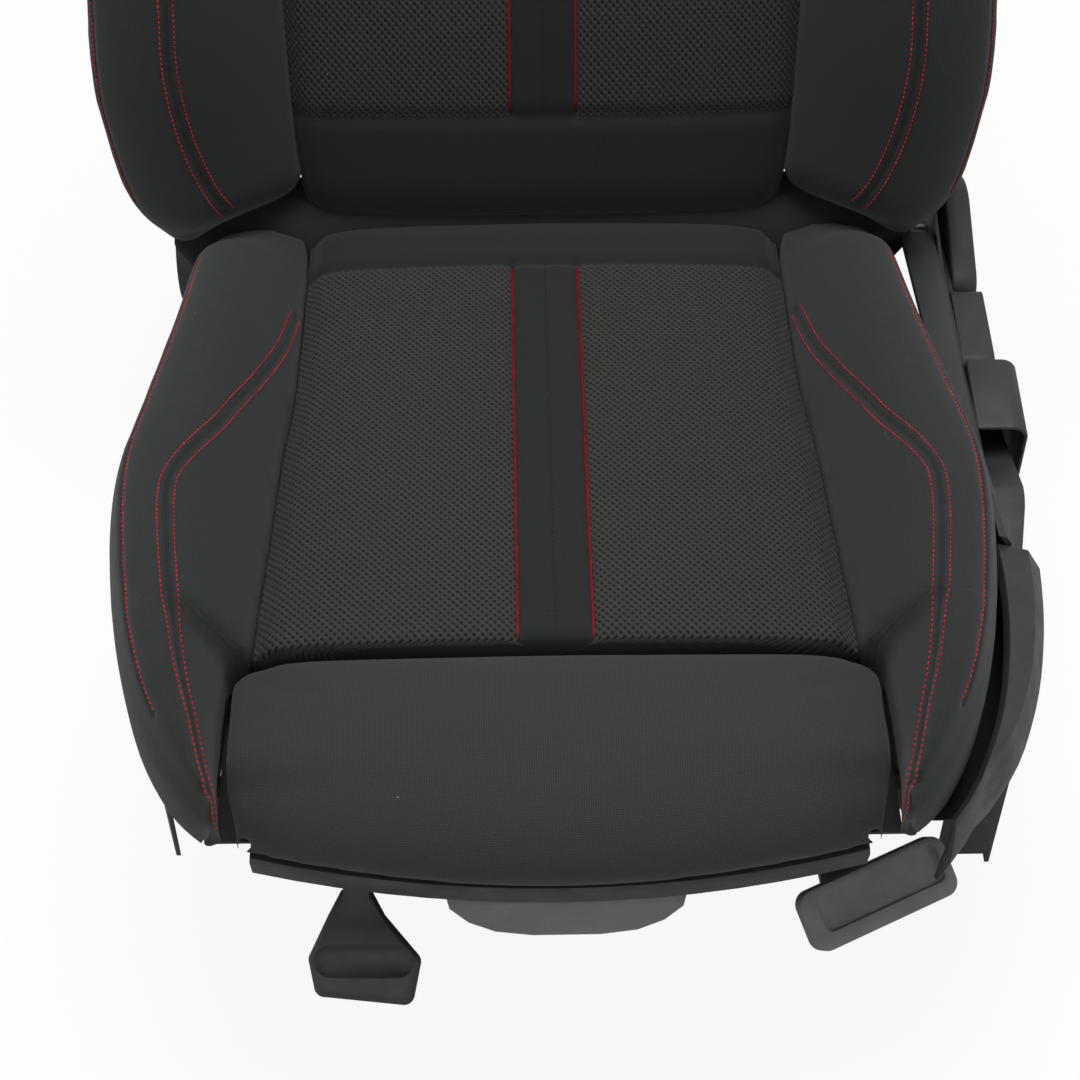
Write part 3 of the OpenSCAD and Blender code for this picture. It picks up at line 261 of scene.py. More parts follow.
def metalGroup():
    # rolled and plated steel: long streaks and dull spots
    g, i, o = newGroup("rolledMetal", {"Vector": None, "Colour": (0.5, 0.5, 0.5, 1), "Dull": 0.35, "Smooth": 0.32},
                       ("Colour", "Roughness", "Height"))
    long = g.nodes.new("ShaderNodeMapping")
    g.links.new(i["Vector"], long.inputs["Vector"])
    long.inputs["Scale"].default_value = (40, 6, 40)
    streak = noise(g, long.outputs[0], 12, 3)
    spots = spread(g, noise(g, i["Vector"], 55, 5, 0.65), 0.5, 0.75, 0, 1)
    darker = mixColour(g, 1.0, i["Colour"], (0.55, 0.53, 0.5, 1), "MULTIPLY")
    g.links.new(mixColour(g, calc(g, "MULTIPLY", spots, i["Dull"]), i["Colour"], darker), o["Colour"])
    rough = calc(g, "ADD", i["Smooth"], calc(g, "MULTIPLY", spread(g, streak, 0.3, 0.7, 0, 0.16), 1.0))
    g.links.new(calc(g, "ADD", rough, calc(g, "MULTIPLY", spots, 0.14)), o["Roughness"])
    g.links.new(streak, o["Height"])
    return g


groups = {"weave": weaveGroup(), "mesh": meshGroup(), "wear": wearGroup(), "grain": grainGroup(),
          "metal": metalGroup()}


# ---- materials ----
def startMaterial(name):
    mat = bpy.data.materials.new(name)
    mat.use_nodes = True
    tree = mat.node_tree
    return mat, tree, tree.nodes["Principled BSDF"]


def place(tree, key, **values):
    node = tree.nodes.new("ShaderNodeGroup")
    node.node_tree = groups[key]
    for name, value in values.items():
        wire(tree, node, name, value)
    return node.outputs


def bump(tree, shader, height, strength, distance, below=None):
    node = tree.nodes.new("ShaderNodeBump")
    node.inputs["Strength"].default_value = strength
    node.inputs["Distance"].default_value = distance
    wire(tree, node, "Height", height)
    wire(tree, node, "Normal", below)
    tree.links.new(node.outputs[0], shader.inputs["Normal"])
    return node.outputs[0]


def objectCoords(tree):
    return tree.nodes.new("ShaderNodeTexCoord").outputs["Object"]


def clothCoords(tree):
    node = tree.nodes.new("ShaderNodeUVMap")
    node.uv_map = "cloth"
    return node.outputs[0]


def wovenMaterial(name, colour, pitch, fade=0.25, weave=0.0003, light=1.5, sheen=0.12, seams=True):
    mat, tree, shader = startMaterial(name)
    coords, solid = clothCoords(tree), objectCoords(tree)
    weaveOut = place(tree, "weave", Vector=coords, Pitch=pitch)
    wear = place(tree, "wear", Vector=solid, Colour=(*colour, 1), Fade=fade)
    raised = mixColour(tree, 1.0, wear["Colour"], (light, light, light, 1), "MULTIPLY")
    shade = mixColour(tree, 1.0, wear["Colour"], (0.62, 0.62, 0.62, 1), "MULTIPLY")
    colourOut = mixColour(tree, weaveOut["Tone"], shade, raised)
    if seams:
        seam = tree.nodes.new("ShaderNodeAttribute")
        seam.attribute_name = "seam"
        away = spread(tree, seam.outputs["Fac"], 0.4, 3.2, 0, 1)
        # painted shade: the cloth's colour is darkened towards the seams, where the pressed groove lies in shade
        seamShade = mixColour(tree, 1.0, colourOut, (0.55, 0.55, 0.55, 1), "MULTIPLY")
        colourOut = mixColour(tree, away, seamShade, colourOut)
        below = bump(tree, shader, away, 0.6, 0.0012)
        bump(tree, shader, weaveOut["Height"], 0.5, weave, below)
    else:
        bump(tree, shader, weaveOut["Height"], 0.5, weave)
    tree.links.new(colourOut, shader.inputs["Base Color"])
    shader.inputs["Roughness"].default_value = 0.92
    shader.inputs["Specular IOR Level"].default_value = 0.22
    shader.inputs["Sheen Weight"].default_value = sheen
    shader.inputs["Sheen Roughness"].default_value = 0.5
    return mat


def meshMaterial(name, colour, width, length):
    mat, tree, shader = startMaterial(name)
    coords, solid = clothCoords(tree), objectCoords(tree)
    cells = place(tree, "mesh", Vector=coords, Width=width, Length=length)
    wear = place(tree, "wear", Vector=solid, Colour=(*colour, 1), Fade=0.3, Lint=0.7)
    thread = mixColour(tree, 1.0, wear["Colour"], (1.45, 1.45, 1.42, 1), "MULTIPLY")
    # painted shade: the open cells are mixed to near-black, partly the dark layer beneath them and partly the shade
    # inside them
    tree.links.new(mixColour(tree, cells["HoleShade"], thread, (0.006, 0.006, 0.006, 1)), shader.inputs["Base Color"])
    bump(tree, shader, cells["Height"], 0.8, 0.0007)
    shader.inputs["Roughness"].default_value = 0.85
    shader.inputs["Specular IOR Level"].default_value = 0.25
    shader.inputs["Sheen Weight"].default_value = 0.08
    return mat


def threadMaterial(name, colour):
    mat, tree, shader = startMaterial(name)
    solid = objectCoords(tree)
    tint = spread(tree, noise(tree, solid, 90, 2), 0.3, 0.7, 0, 1)
    dark = tuple(c * 0.55 for c in colour)
    tree.links.new(mixColour(tree, tint, (*dark, 1), (*colour, 1)), shader.inputs["Base Color"])
    bump(tree, shader, noise(tree, solid, 2600, 1.0), 0.5, 0.0002)
    shader.inputs["Roughness"].default_value = 0.6
    shader.inputs["Specular IOR Level"].default_value = 0.3
    return mat


def plasticMaterial(name, colour, size=900.0, rub=0.3, strength=0.35, coat=0.0):
    mat, tree, shader = startMaterial(name)
    out = place(tree, "grain", Vector=objectCoords(tree), Colour=(*colour, 1), Size=size, Rub=rub)
    tree.links.new(out["Colour"], shader.inputs["Base Color"])
    tree.links.new(out["Roughness"], shader.inputs["Roughness"])
    bump(tree, shader, out["Height"], strength, 0.00015)
    shader.inputs["Coat Weight"].default_value = coat
    return mat


def metalMaterial(name, colour, smooth, metallic=1.0, dull=0.35):
    mat, tree, shader = startMaterial(name)
    out = place(tree, "metal", Vector=objectCoords(tree), Colour=(*colour, 1), Dull=dull, Smooth=smooth)
    tree.links.new(out["Colour"], shader.inputs["Base Color"])
    tree.links.new(out["Roughness"], shader.inputs["Roughness"])
    bump(tree, shader, out["Height"], 0.12, 0.0002)
    shader.inputs["Metallic"].default_value = metallic
    return mat


cloth = {
    "bolster": wovenMaterial("bolsterCloth", (0.040, 0.043, 0.043), 0.0013),
    "thigh": wovenMaterial("thighCloth", (0.051, 0.054, 0.053), 0.0013, seams=False),
    "band": wovenMaterial("bandCloth", (0.024, 0.025, 0.026), 0.0013, seams=False),
    "strip": wovenMaterial("stripCloth", (0.024, 0.025, 0.025), 0.0011, seams=False),
    "mesh": meshMaterial("seatMesh", (0.034, 0.034, 0.033), 0.0025, 0.0029),
    "thread": threadMaterial("redThread", (0.66, 0.035, 0.055)),
    "piping": threadMaterial("redPiping", (0.22, 0.006, 0.016)),
    "blackThread": threadMaterial("blackThread", (0.02, 0.02, 0.02)),
}
plastic = {
    "trim": plasticMaterial("trimPlastic", (0.028, 0.029, 0.031)),
    "lever": plasticMaterial("leverPlastic", (0.022, 0.023, 0.025), rub=0.45),
    "paddle": plasticMaterial("paddlePlastic", (0.190, 0.190, 0.178), rub=0.6, strength=0.2),
    "handle": plasticMaterial("handlePlastic", (0.200, 0.205, 0.208), rub=0.4),
    "shell": plasticMaterial("shellPlastic", (0.028, 0.028, 0.029), size=600.0),
    "nylon": plasticMaterial("nylonPlastic", (0.55, 0.52, 0.43), size=400.0, strength=0.1),
}
metal = {
    "coated": metalMaterial("blackCoatedSteel", (0.018, 0.018, 0.019), 0.42, metallic=0.0),
    "link": metalMaterial("phosphatedSteel", (0.10, 0.10, 0.105), 0.45, metallic=0.6),
    "zinc": metalMaterial("zincPlatedSteel", (0.56, 0.56, 0.55), 0.30),
    "wire": metalMaterial("springWire", (0.36, 0.36, 0.36), 0.34),
    "chrome": metalMaterial("postChrome", (0.62, 0.62, 0.63), 0.08, dull=0.1),
}
print("materials made")


# ---- mesh helpers ----
def along(pairs, t):
    # smooth curve through pairs of place and value
    last = len(pairs) - 1
    i = 0
    while i < last - 1 and t > pairs[i + 1][0]:
        i += 1

    def rise(k):
        a, b = max(k - 1, 0), min(k + 1, last)
        return (pairs[b][1] - pairs[a][1]) / (pairs[b][0] - pairs[a][0])

    h = pairs[i + 1][0] - pairs[i][0]
    u = min(max((t - pairs[i][0]) / h, 0), 1)
    v = 1 - u
    return (pairs[i][1] * (1 + 2 * u) * v * v + pairs[i + 1][1] * u * u * (3 - 2 * u)
            + h * u * v * (v * rise(i) - u * rise(i + 1)))


def steps(a, b, n):
    return [a + (b - a) * i / n for i in range(n + 1)]


def groove(d, half, depth):
    return 0 if abs(d) >= half else depth * (1 + math.cos(math.pi * d / half)) / 2


def onlySelect(obj):
    bpy.ops.object.select_all(action="DESELECT")
    obj.select_set(True)
    bpy.context.view_layer.objects.active = obj


def applyModifier(obj, kind, **settings):
    onlySelect(obj)
    mod = obj.modifiers.new(kind.lower(), kind)
    for name, value in settings.items():
        setattr(mod, name, value)
    bpy.ops.object.modifier_apply(modifier=mod.name)


def meshObject(name, verts, faces):
    data = bpy.data.meshes.new(name)
    data.from_pydata(verts, [], faces)
    data.update()
    obj = bpy.data.objects.new(name, data)
    scene.collection.objects.link(obj)
    return obj


def loft(name, rings, matrix):
    # closed skin through rings in millimetres, and the cloth map that goes with it
    n = len(rings[0])
    points = [matrix @ Vector((x * mm, y * mm, z * mm)) for ring in rings for x, y, z in ring]
    centre = [sum((points[r * n + k] for k in range(n)), Vector()) / n for r in range(len(rings))]
    lengths, total = [0.0], 0.0
    for r in range(1, len(rings)):
        total += (centre[r] - centre[r - 1]).length
        lengths.append(total)
    faces, maps = [], []
    around = []
    for r in range(len(rings)):
        row = [0.0]
        for k in range(n):
            row.append(row[-1] + (points[r * n + (k + 1) % n] - points[r * n + k]).length)
        middle = row[n // 2]
        around.append([value - middle for value in row])
    for r in range(len(rings) - 1):
        for k in range(n):
            m = (k + 1) % n
            faces.append((r * n + k, r * n + m, (r + 1) * n + m, (r + 1) * n + k))
            maps.append([(around[r][k], lengths[r]), (around[r][k + 1], lengths[r]),
                         (around[r + 1][k + 1], lengths[r + 1]), (around[r + 1][k], lengths[r + 1])])
    for r, order in ((0, range(n - 1, -1, -1)), (len(rings) - 1, range(n))):
        faces.append(tuple(r * n + k for k in order))
        maps.append([(around[r][k], lengths[r]) for k in order])
    obj = meshObject(name, points, faces)
    onlySelect(obj)
    bpy.ops.object.mode_set(mode="EDIT")
    bpy.ops.mesh.select_all(action="SELECT")
    bpy.ops.mesh.normals_make_consistent(inside=False)
    bpy.ops.object.mode_set(mode="OBJECT")
    return obj, {"points": points, "faces": faces, "maps": maps}


def mapCloth(obj, source):
    # the cloth map of a finished pad, taken from the nearest place on its pattern
    tree = BVHTree.FromPolygons(source["points"], source["faces"])
    found = []
    for v in obj.data.vertices:
        spot, normal, index, gap = tree.find_nearest(v.co)
        corners = [source["points"][i] for i in source["faces"][index]]
        shares = poly_3d_calc(corners, spot)
        found.append((sum(s * m[0] for s, m in zip(shares, source["maps"][index])),
                      sum(s * m[1] for s, m in zip(shares, source["maps"][index]))))
    layer = obj.data.uv_layers.new(name="cloth")
    for loop in obj.data.loops:
        layer.data[loop.index].uv = found[loop.vertex_index]


def smooth(obj):
    onlySelect(obj)
    bpy.ops.object.shade_smooth()


inflateRules = {"voxel": 0.005, "shrink": -0.0022, "pressure": 4.0, "frames": 20}
welt = (1.25, 0.1)
fineThread = {"pitch": 4.2, "length": 2.0, "thick": 0.34}


def inflate(obj, matrix, held, cap, rules=inflateRules):
    # a stuffed look by cloth: held says how firmly a place is sewn or glued down
    applyModifier(obj, "DISPLACE", strength=rules["shrink"], mid_level=0.0)
    applyModifier(obj, "REMESH", mode="VOXEL", voxel_size=rules["voxel"], adaptivity=0)
    applyModifier(obj, "SMOOTH", factor=0.5, iterations=5)
    back = matrix.inverted()
    start = np.array([v.co for v in obj.data.vertices])
    group = obj.vertex_groups.new(name="held")
    for v in obj.data.vertices:
        weight = held(back @ v.co * 1000)
        if weight > 0:
            group.add([v.index], weight, "REPLACE")
    mod = obj.modifiers.new("stuffing", "CLOTH")
    s = mod.settings
    s.quality, s.mass, s.air_damping = 4, 0.3, 1
    s.tension_stiffness = s.compression_stiffness = 14
    s.shear_stiffness, s.bending_stiffness = 7, 0.6
    s.use_pressure, s.uniform_pressure_force = True, rules["pressure"]
    s.effector_weights.gravity = 0
    s.vertex_group_mass = "held"
    mod.collision_settings.use_collision = False
    mod.point_cache.frame_start, mod.point_cache.frame_end = 1, rules["frames"]
    for f in range(1, rules["frames"] + 1):
        scene.frame_set(f)
    done = obj.evaluated_get(bpy.context.evaluated_depsgraph_get())
    end = np.array([v.co for v in done.data.vertices])
    move = end - start
    far = np.linalg.norm(move, axis=1, keepdims=True)
    move *= np.minimum(1, cap / np.maximum(far, 1e-9))
    obj.modifiers.remove(mod)
    scene.frame_set(1)
    obj.data.vertices.foreach_set("co", (start + move).astype(np.float32).ravel())
    obj.vertex_groups.clear()
    applyModifier(obj, "SMOOTH", factor=0.5, iterations=2)
    applyModifier(obj, "SUBSURF", levels=1, render_levels=1)


def mirrored(obj, name):
    # the same piece for the other side, with its own mesh
    data = obj.data.copy()
    data.name = name
    data.transform(Matrix.Scale(-1, 4, (1, 0, 0)))
    data.flip_normals()
    twin = bpy.data.objects.new(name, data)
    scene.collection.objects.link(twin)
    return twin


def paint(obj, *materials):
    obj.data.materials.clear()
    for m in materials:
        obj.data.materials.append(m)


def paintWhere(obj, matrix, choose):
    # gives each face the material slot that choose picks from its place in millimetres
    back = matrix.inverted()
    for f in obj.data.polygons:
        f.material_index = choose(back @ f.center * 1000)


# ---- seams ----
def surfaceTree(obj):
    return BVHTree.FromObject(obj, bpy.context.evaluated_depsgraph_get())


def surfaceLine(obj, matrix, plan, reach, way, pace=1.5):
    # points and normals where a line drawn over a pad meets it, every pace millimetres
    tree = surfaceTree(obj)
    aim = (matrix.to_3x3() @ Vector(way)).normalized()
    pairs = [(i, p) for i, p in enumerate(plan)]
    coarse = []
    for t in steps(0, len(plan) - 1, (len(plan) - 1) * 24):
        coarse.append(Vector([along([(i, p[axis]) for i, p in pairs], t) for axis in range(3)]))
    hits, last = [], None
    for p in coarse:
        if last is not None and (p - last).length < pace:
            continue
        origin = matrix @ (p * mm) - aim * reach
        spot, normal, index, gap = tree.ray_cast(origin, aim, reach * 2)
        if spot is not None:
            hits.append((spot, normal))
            last = p
    spots = [h[0] for h in hits]
    for turn in range(2):
        inner = [(spots[i - 1] + spots[i] * 2 + spots[i + 1]) / 4 for i in range(1, len(spots) - 1)]
        spots = [spots[0]] + inner + [spots[-1]]
    line = []
    for spot in spots:
        near, normal, index, gap = tree.find_nearest(spot)
        line.append((near, normal))
    return line


def besideLine(line, tree, offset):
    out = []
    for i, (spot, normal) in enumerate(line):
        a, b = line[max(i - 1, 0)][0], line[min(i + 1, len(line) - 1)][0]
        side = (b - a).cross(normal).normalized()
        near, n, index, gap = tree.find_nearest(spot + side * offset * mm)
        out.append((near, n))
    return out


def addStitches(verts, faces, line, pitch=3.6, length=2.8, thick=0.52):
    # rounded threads that dip into the cloth at both ends
    spots = [p for p, n in line]
    run = [0.0]
    for i in range(1, len(spots)):
        run.append(run[-1] + (spots[i] - spots[i - 1]).length / mm)

    def at(d):
        i = int(np.searchsorted(run, d)) - 1
        i = min(max(i, 0), len(spots) - 2)
        u = (d - run[i]) / max(run[i + 1] - run[i], 1e-6)
        return spots[i].lerp(spots[i + 1], u), line[i][1].lerp(line[i + 1][1], u).normalized()

    d = 1.0
    while d + length < run[-1]:
        base = len(verts)
        shape = [(0.0, -0.4, 0.5), (0.16, 0.2, 0.95), (0.5, 0.45, 1.0), (0.84, 0.2, 0.95), (1.0, -0.4, 0.5)]
        a, b = at(d)[0], at(d + length)[0]
        way = (b - a).normalized()
        for share, lift, size in shape:
            spot, normal = at(d + length * share)
            side = way.cross(normal).normalized()
            up = side.cross(way).normalized()
            centre = spot + up * lift * mm
            for k in range(6):
                angle = math.pi * k / 3
                verts.append(centre + (side * math.cos(angle) + up * math.sin(angle)) * thick * size * mm)
        for r in range(len(shape) - 1):
            for k in range(6):
                m = (k + 1) % 6
                faces.append((base + r * 6 + k, base + r * 6 + m, base + (r + 1) * 6 + m, base + (r + 1) * 6 + k))
        faces.append(tuple(base + k for k in range(5, -1, -1)))
        faces.append(tuple(base + (len(shape) - 1) * 6 + k for k in range(6)))
        d += pitch


def sewStitches(name, lines, key="thread", **size):
    verts, faces = [], []
    for line in lines:
        addStitches(verts, faces, line, **size)
    obj = meshObject(name, verts, faces)
    if key == "thread":
        fixNormals(obj)
    smooth(obj)
    paint(obj, cloth[key])
    return obj


def goesWith(body, slot, *objs):
    for obj in objs:
        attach(obj, body)


def tube(name, line, radius, sink, sides=8):
    # a cord laid on a pad, sunk by a share of its radius
    verts, faces = [], []
    for i, (spot, normal) in enumerate(line):
        a, b = line[max(i - 1, 0)][0], line[min(i + 1, len(line) - 1)][0]
        way = (b - a).normalized()
        side = way.cross(normal).normalized()
        up = side.cross(way).normalized()
        size = radius * (0.4 if i in (0, len(line) - 1) else 1)
        for k in range(sides):
            angle = 2 * math.pi * k / sides
            verts.append(spot + up * -sink * mm + (side * math.cos(angle) + up * math.sin(angle)) * size * mm)
    for r in range(len(line) - 1):
        for k in range(sides):
            m = (k + 1) % sides
            faces.append((r * sides + k, r * sides + m, (r + 1) * sides + m, (r + 1) * sides + k))
    faces.append(tuple(range(sides - 1, -1, -1)))
    faces.append(tuple((len(line) - 1) * sides + k for k in range(sides)))
    obj = meshObject(name, verts, faces)
    fixNormals(obj)
    smooth(obj)
    return obj


def sewStrip(obj, part, body, matrix, sides, middle, way):
    # the centre strip's two welts and the seam between them
    for name, plan in zip(("PipingLeft", "PipingRight"), sides):
        line = surfaceLine(obj, matrix, plan, 0.1, way, 3)
        cord = tube(part + name, line, *welt)
        paint(cord, cloth["piping"])
        goesWith(body, "bolster_fabric", cord)
    line = surfaceLine(obj, matrix, middle, 0.1, way, 2)
    goesWith(body, "mesh_fabric", sewStitches(part + "MiddleSeam", [line], "blackThread", **fineThread))


def sewBolsters(obj, part, body, middle, outer):
    # seams and stitches of a right bolster, and its twin on the left
    pressSeams(obj, [middle, outer], 1.1)
    paint(obj, cloth["bolster"])
    twin = mirrored(obj, part + "BolsterLeft")
    finishPad(obj, body, "bolster_fabric", part + "_bolster_right")
    finishPad(twin, body, "bolster_fabric", part + "_bolster_left")
    tree = surfaceTree(obj)
    sewn = [besideLine(middle, tree, -5), besideLine(middle, tree, 5), besideLine(outer, tree, 1.5)]
    stitches = sewStitches(part + "StitchesRight", sewn)
    goesWith(body, "bolster_fabric", stitches, mirrored(stitches, part + "StitchesLeft"))


def fixNormals(obj):
    onlySelect(obj)
    bpy.ops.object.mode_set(mode="EDIT")
    bpy.ops.mesh.select_all(action="SELECT")
    bpy.ops.mesh.normals_make_consistent(inside=False)
    bpy.ops.object.mode_set(mode="OBJECT")


def pressSeams(obj, lines, depth, width=2.6):
    # the distance to the nearest seam in millimetres as a map, and the cloth pulled down along it
    tree = KDTree(sum(len(line) for line in lines))
    count = 0
    for line in lines:
        for spot, normal in line:
            tree.insert(spot, count)
            count += 1
    tree.balance()
    layer = obj.data.attributes.new("seam", "FLOAT", "POINT")
    normals = [v.normal.copy() for v in obj.data.vertices]
    for v in obj.data.vertices:
        gap = tree.find(v.co)[2] / mm
        layer.data[v.index].value = min(gap, 30)
        if gap < 12:
            v.co -= normals[v.index] * depth * mm * math.exp(-(gap / width) ** 2)
    obj.data.update()


def panelPlaces(w, usual, strip):
    # closer together at the strip's welts and at the panel's edges
    edge = (0.93, 0.955, 0.975, 0.992, 1)
    shares = steps(-0.9, 0.9, 22) + list(edge) + [-k for k in edge]
    seams = [strip + d for d in (-5, -2.5, 0, 2.5, 5)]
    xs = [k * w for k in shares if abs(abs(k) * usual - strip) > 7]
    return sorted(xs + seams + [-x for x in seams] + [0, -3, 3])


def finishPad(obj, body, slot, node):
    smooth(obj)
    goesWith(body, slot, obj)
    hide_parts(node)


# ---- cushion ----
cushion = {"half": 268, "bolster": 52, "strip": 22.5, "channel": 4, "insertFront": -182, "thighBack": -184.5,
           "foamLow": -44, "panZ": -64, "axisY": 264.91, "axisZ": -40.52, "foamCut": 51.5}
insertWidths = [(-185, 180), (-125, 177), (-70, 174), (0, 171), (60, 166), (240, 164)]
cushionWidths = [(-330, -106), (-315, -86), (-290, -57), (-250, -32), (-200, -15), (-130, -2.5), (-60, 2), (0, -6),
                 (60, -14), (120, -20.5), (240, -27)]
ridgeHeights = [(-322, -72), (-310, -52), (-290, -33), (-262, -20), (-200, -7), (-100, 0), (0, -2), (100, -10),
                (180, -24), (204, -42), (240, -56)]


def cutBehind(points, c=cushion):
    # the round hollow at the cushion's back, where the backrest turns
    out = []
    for x, y, z in points:
        dy, dz = y - c["axisY"], z - c["axisZ"]
        gap = math.hypot(dy, dz)
        if gap < c["foamCut"]:
            dy = -math.sqrt(max(c["foamCut"] ** 2 - dz * dz, 0))
            y = c["axisY"] + dy
        out.append((x, y, z))
    return out


def insertTop(x, y, w, c=cushion):
    top = 4 * (1 - (x / w) ** 2) - 7 * (abs(x) / w) ** 12
    top -= 6 * groove(abs(x) - w * 0.985, 9, 1)
    if y < 181:
        top -= groove(abs(x) - c["strip"], 5, c["channel"] * 0.7) + groove(x, 3, 1.0)
    top -= groove(y - 179, 7, c["channel"])
    front = y - c["insertFront"]
    if front < 10:
        top -= 5.5 * (1 - math.sqrt(max(0, 1 - ((10 - front) / 10) ** 2)))
    return top - max(0, (y - 204) / 36) ** 2 * 10


def makeCushionInsert(c=cushion):
    rings = []
    stations = [-182, -180.5, -178, -175, -171, -166] + steps(-158, 166, 40) + [172, 175.5, 179, 182.5, 186, 192]
    for y in stations + steps(199, 240, 7):
        w = along(insertWidths, y) + 1.2
        ring = [(x, y, insertTop(x, y, w)) for x in panelPlaces(w, 172, c["strip"])]
        ring += [(w - 0.5, y, -22), (w - 3, y, c["panZ"] + 0.6), (0, y, c["panZ"] + 0.6), (3 - w, y, c["panZ"] + 0.6),
                 (0.5 - w, y, -22)]
        rings.append(cutBehind(ring))
    obj, source = loft("cushionCentre", rings, cushionPlace)
    mapCloth(obj, source)
    paint(obj, cloth["mesh"], cloth["strip"], cloth["band"])
    paintWhere(obj, cushionPlace, lambda p: 2 if p.y > 179 else 1 if abs(p.x) < c["strip"] else 0)
    applyModifier(obj, "SUBSURF", levels=1, render_levels=1)
    finishPad(obj, "cushion", "mesh_fabric", "cushion_insert")
    sides = [[(x, y, 0) for y in (-180, -120, -60, 0, 60, 120, 177)] for x in (-c["strip"], c["strip"])]
    sewStrip(obj, "cushion", "cushion", cushionPlace, sides, [(0, y, 0) for y in (-178, -60, 60, 176)], (0, 0, -1))


def thighHalf(y):
    # half width of the thigh pad, its front corners rounded
    return along([(-335, 160), (-322, 174), (-308, 184), (-290, 190.5), (-262, 193), (-180, 193)], max(y, -334))


def cushionRing(y, c=cushion):
    inner = max(thighHalf(y), 188) + 1.5 if y < c["thighBack"] + 1 else along(insertWidths, y)
    w = max(c["half"] + along(cushionWidths, y), inner + 7)
    top = c["bolster"] + along(ridgeHeights, y)
    crest = inner + 0.6 * (w - inner)
    rise = max(0, -288 - y)
    low = c["foamLow"] + 0.9 * rise
    skirt = c["foamLow"] - 14 + 1.1 * rise
    brim = min(-4, top - 2)
    points = [(inner + 0.3, y, low), (inner + 0.3, y, (low + brim) / 2), (inner + 0.3, y, brim)]
    for t in (0.06, 0.14, 0.26, 0.4, 0.55, 0.7, 0.85, 1):
        points.append((inner + (crest - inner) * t, y, -4 + (top + 4) * math.sin(math.pi / 2 * t ** 1.15)))
    for a in (14, 28, 42, 56, 70, 82):
        turn = math.radians(a)
        points.append((crest + (w - crest) * math.sin(turn), y, top - 24 * (1 - math.cos(turn))))
    points += [(w + 1, y, top - 26), (w + 4, y, (top - 26) * 0.7 - 4), (w + 5.5, y, (top - 26) * 0.45 - 12),
               (w + 4, y, skirt + 12), (w - 1, y, skirt + 3), (w - 6, y, skirt), (w - 10, y, low)]
    return points


def roundTip(rings, share, depth):
    # a soft end in place of a flat cut: the first ring draws in towards its middle
    first = rings[0]
    n = len(first)
    mid = [sum(p[k] for p in first) / n for k in range(3)]
    ends = []
    for s, d in share:
        ends.append([(mid[0] + (p[0] - mid[0]) * s, p[1] - depth * d, mid[2] + (p[2] - mid[2]) * s) for p in first])
    return ends + rings


def makeCushionBolsters(c=cushion):
    stations = ([-312, -309] + steps(-304, -196, 9) + [c["thighBack"] + 0.9, c["thighBack"] + 1.1]
                + steps(-170, 150, 20) + [162, 174, 186, 197, 207, 218, 230])
    rings = roundTip([cutBehind(cushionRing(y)) for y in stations], ((0.3, 1.0), (0.7, 0.75), (0.92, 0.35)), 5)
    obj, source = loft("cushionBolsterRight", rings, cushionPlace)

    def held(p):
        inner = thighHalf(p.y) + 4 if p.y < c["thighBack"] + 1 else along(insertWidths, p.y) + 3
        if p.x < inner or p.z < -34 or p.y > 205:
            return 1.0
        gap = min(abs(p.x - along(midSeam, p.y)), abs(p.x - along(outSeam, p.y)) if p.z > 0 else 99)
        return 0.9 if gap < 4 else 0.0

    inflate(obj, cushionPlace, held, 0.0045)
    mapCloth(obj, source)
    middle = surfaceLine(obj, cushionPlace, [(x, y, 0) for y, x in midSeam], 0.15, (0, 0, -1))
    outer = surfaceLine(obj, cushionPlace, [(0, y, along(ridgeHeights, y) + c["bolster"] - 13) for y in
                                                  (168, 120, 60, 0, -60, -110, -160, -210, -255)], 0.4, (-1, 0, 0))
    sewBolsters(obj, "cushion", "cushion", middle, outer)


midSeam = [(-322, 181), (-298, 194), (-282, 200), (-256, 207), (-227, 215), (-195, 221), (-165, 225.5), (-130, 230),
           (-105, 232), (-85, 231), (-65, 224), (-28, 209), (6, 198.5), (43, 187), (84, 177), (130, 170)]
outSeam = [(-322, 193), (-280, 217), (-250, 230), (-212, 250), (-184, 257), (-153, 262.5), (-93, 267), (-61, 267),
           (1, 259), (78, 249), (168, 243)]
shadeStripReach = [(-268, 5), (-231, 17), (-190, 25), (-140, 30), (-98, 32), (-80, 12), (172, 12)]


def makeGapShadeStrip(c=cushion):
    # dark cloth strip that closes the gap between the right bolster and the trims from below: a dark sheet standing in
    # for the shade down in that gap
    rings = []
    for y in steps(-268, 172, 30):
        w = c["half"] + along(cushionWidths, y)
        sag = 0.8 * math.sin(y / 21) - 64
        outer = along(shadeStripReach, y)
        rings.append([(w - 15, y, sag), (w - 6, y, sag - 0.8), (w + 2, y, sag - 0.6), (w + outer, y, sag + 1.5),
                      (w + outer, y, sag - 0.1), (w + 2, y, sag - 2.2), (w - 6, y, sag - 2.4), (w - 15, y, sag - 1.6)])
    obj, source = loft("gapShadeStrip", rings, cushionPlace)
    mapCloth(obj, source)
    paint(obj, cloth["band"])
    smooth(obj)
    goesWith("seat_frame", "bolster_fabric", obj)


makeCushionInsert()
print("cushion centre made")
makeCushionBolsters()
makeGapShadeStrip()
print("cushion bolsters made")


# ---- thigh support pad ----
thigh = {"half": 193, "front": -330, "back": -184.5, "low": -45.7, "earFront": -290}


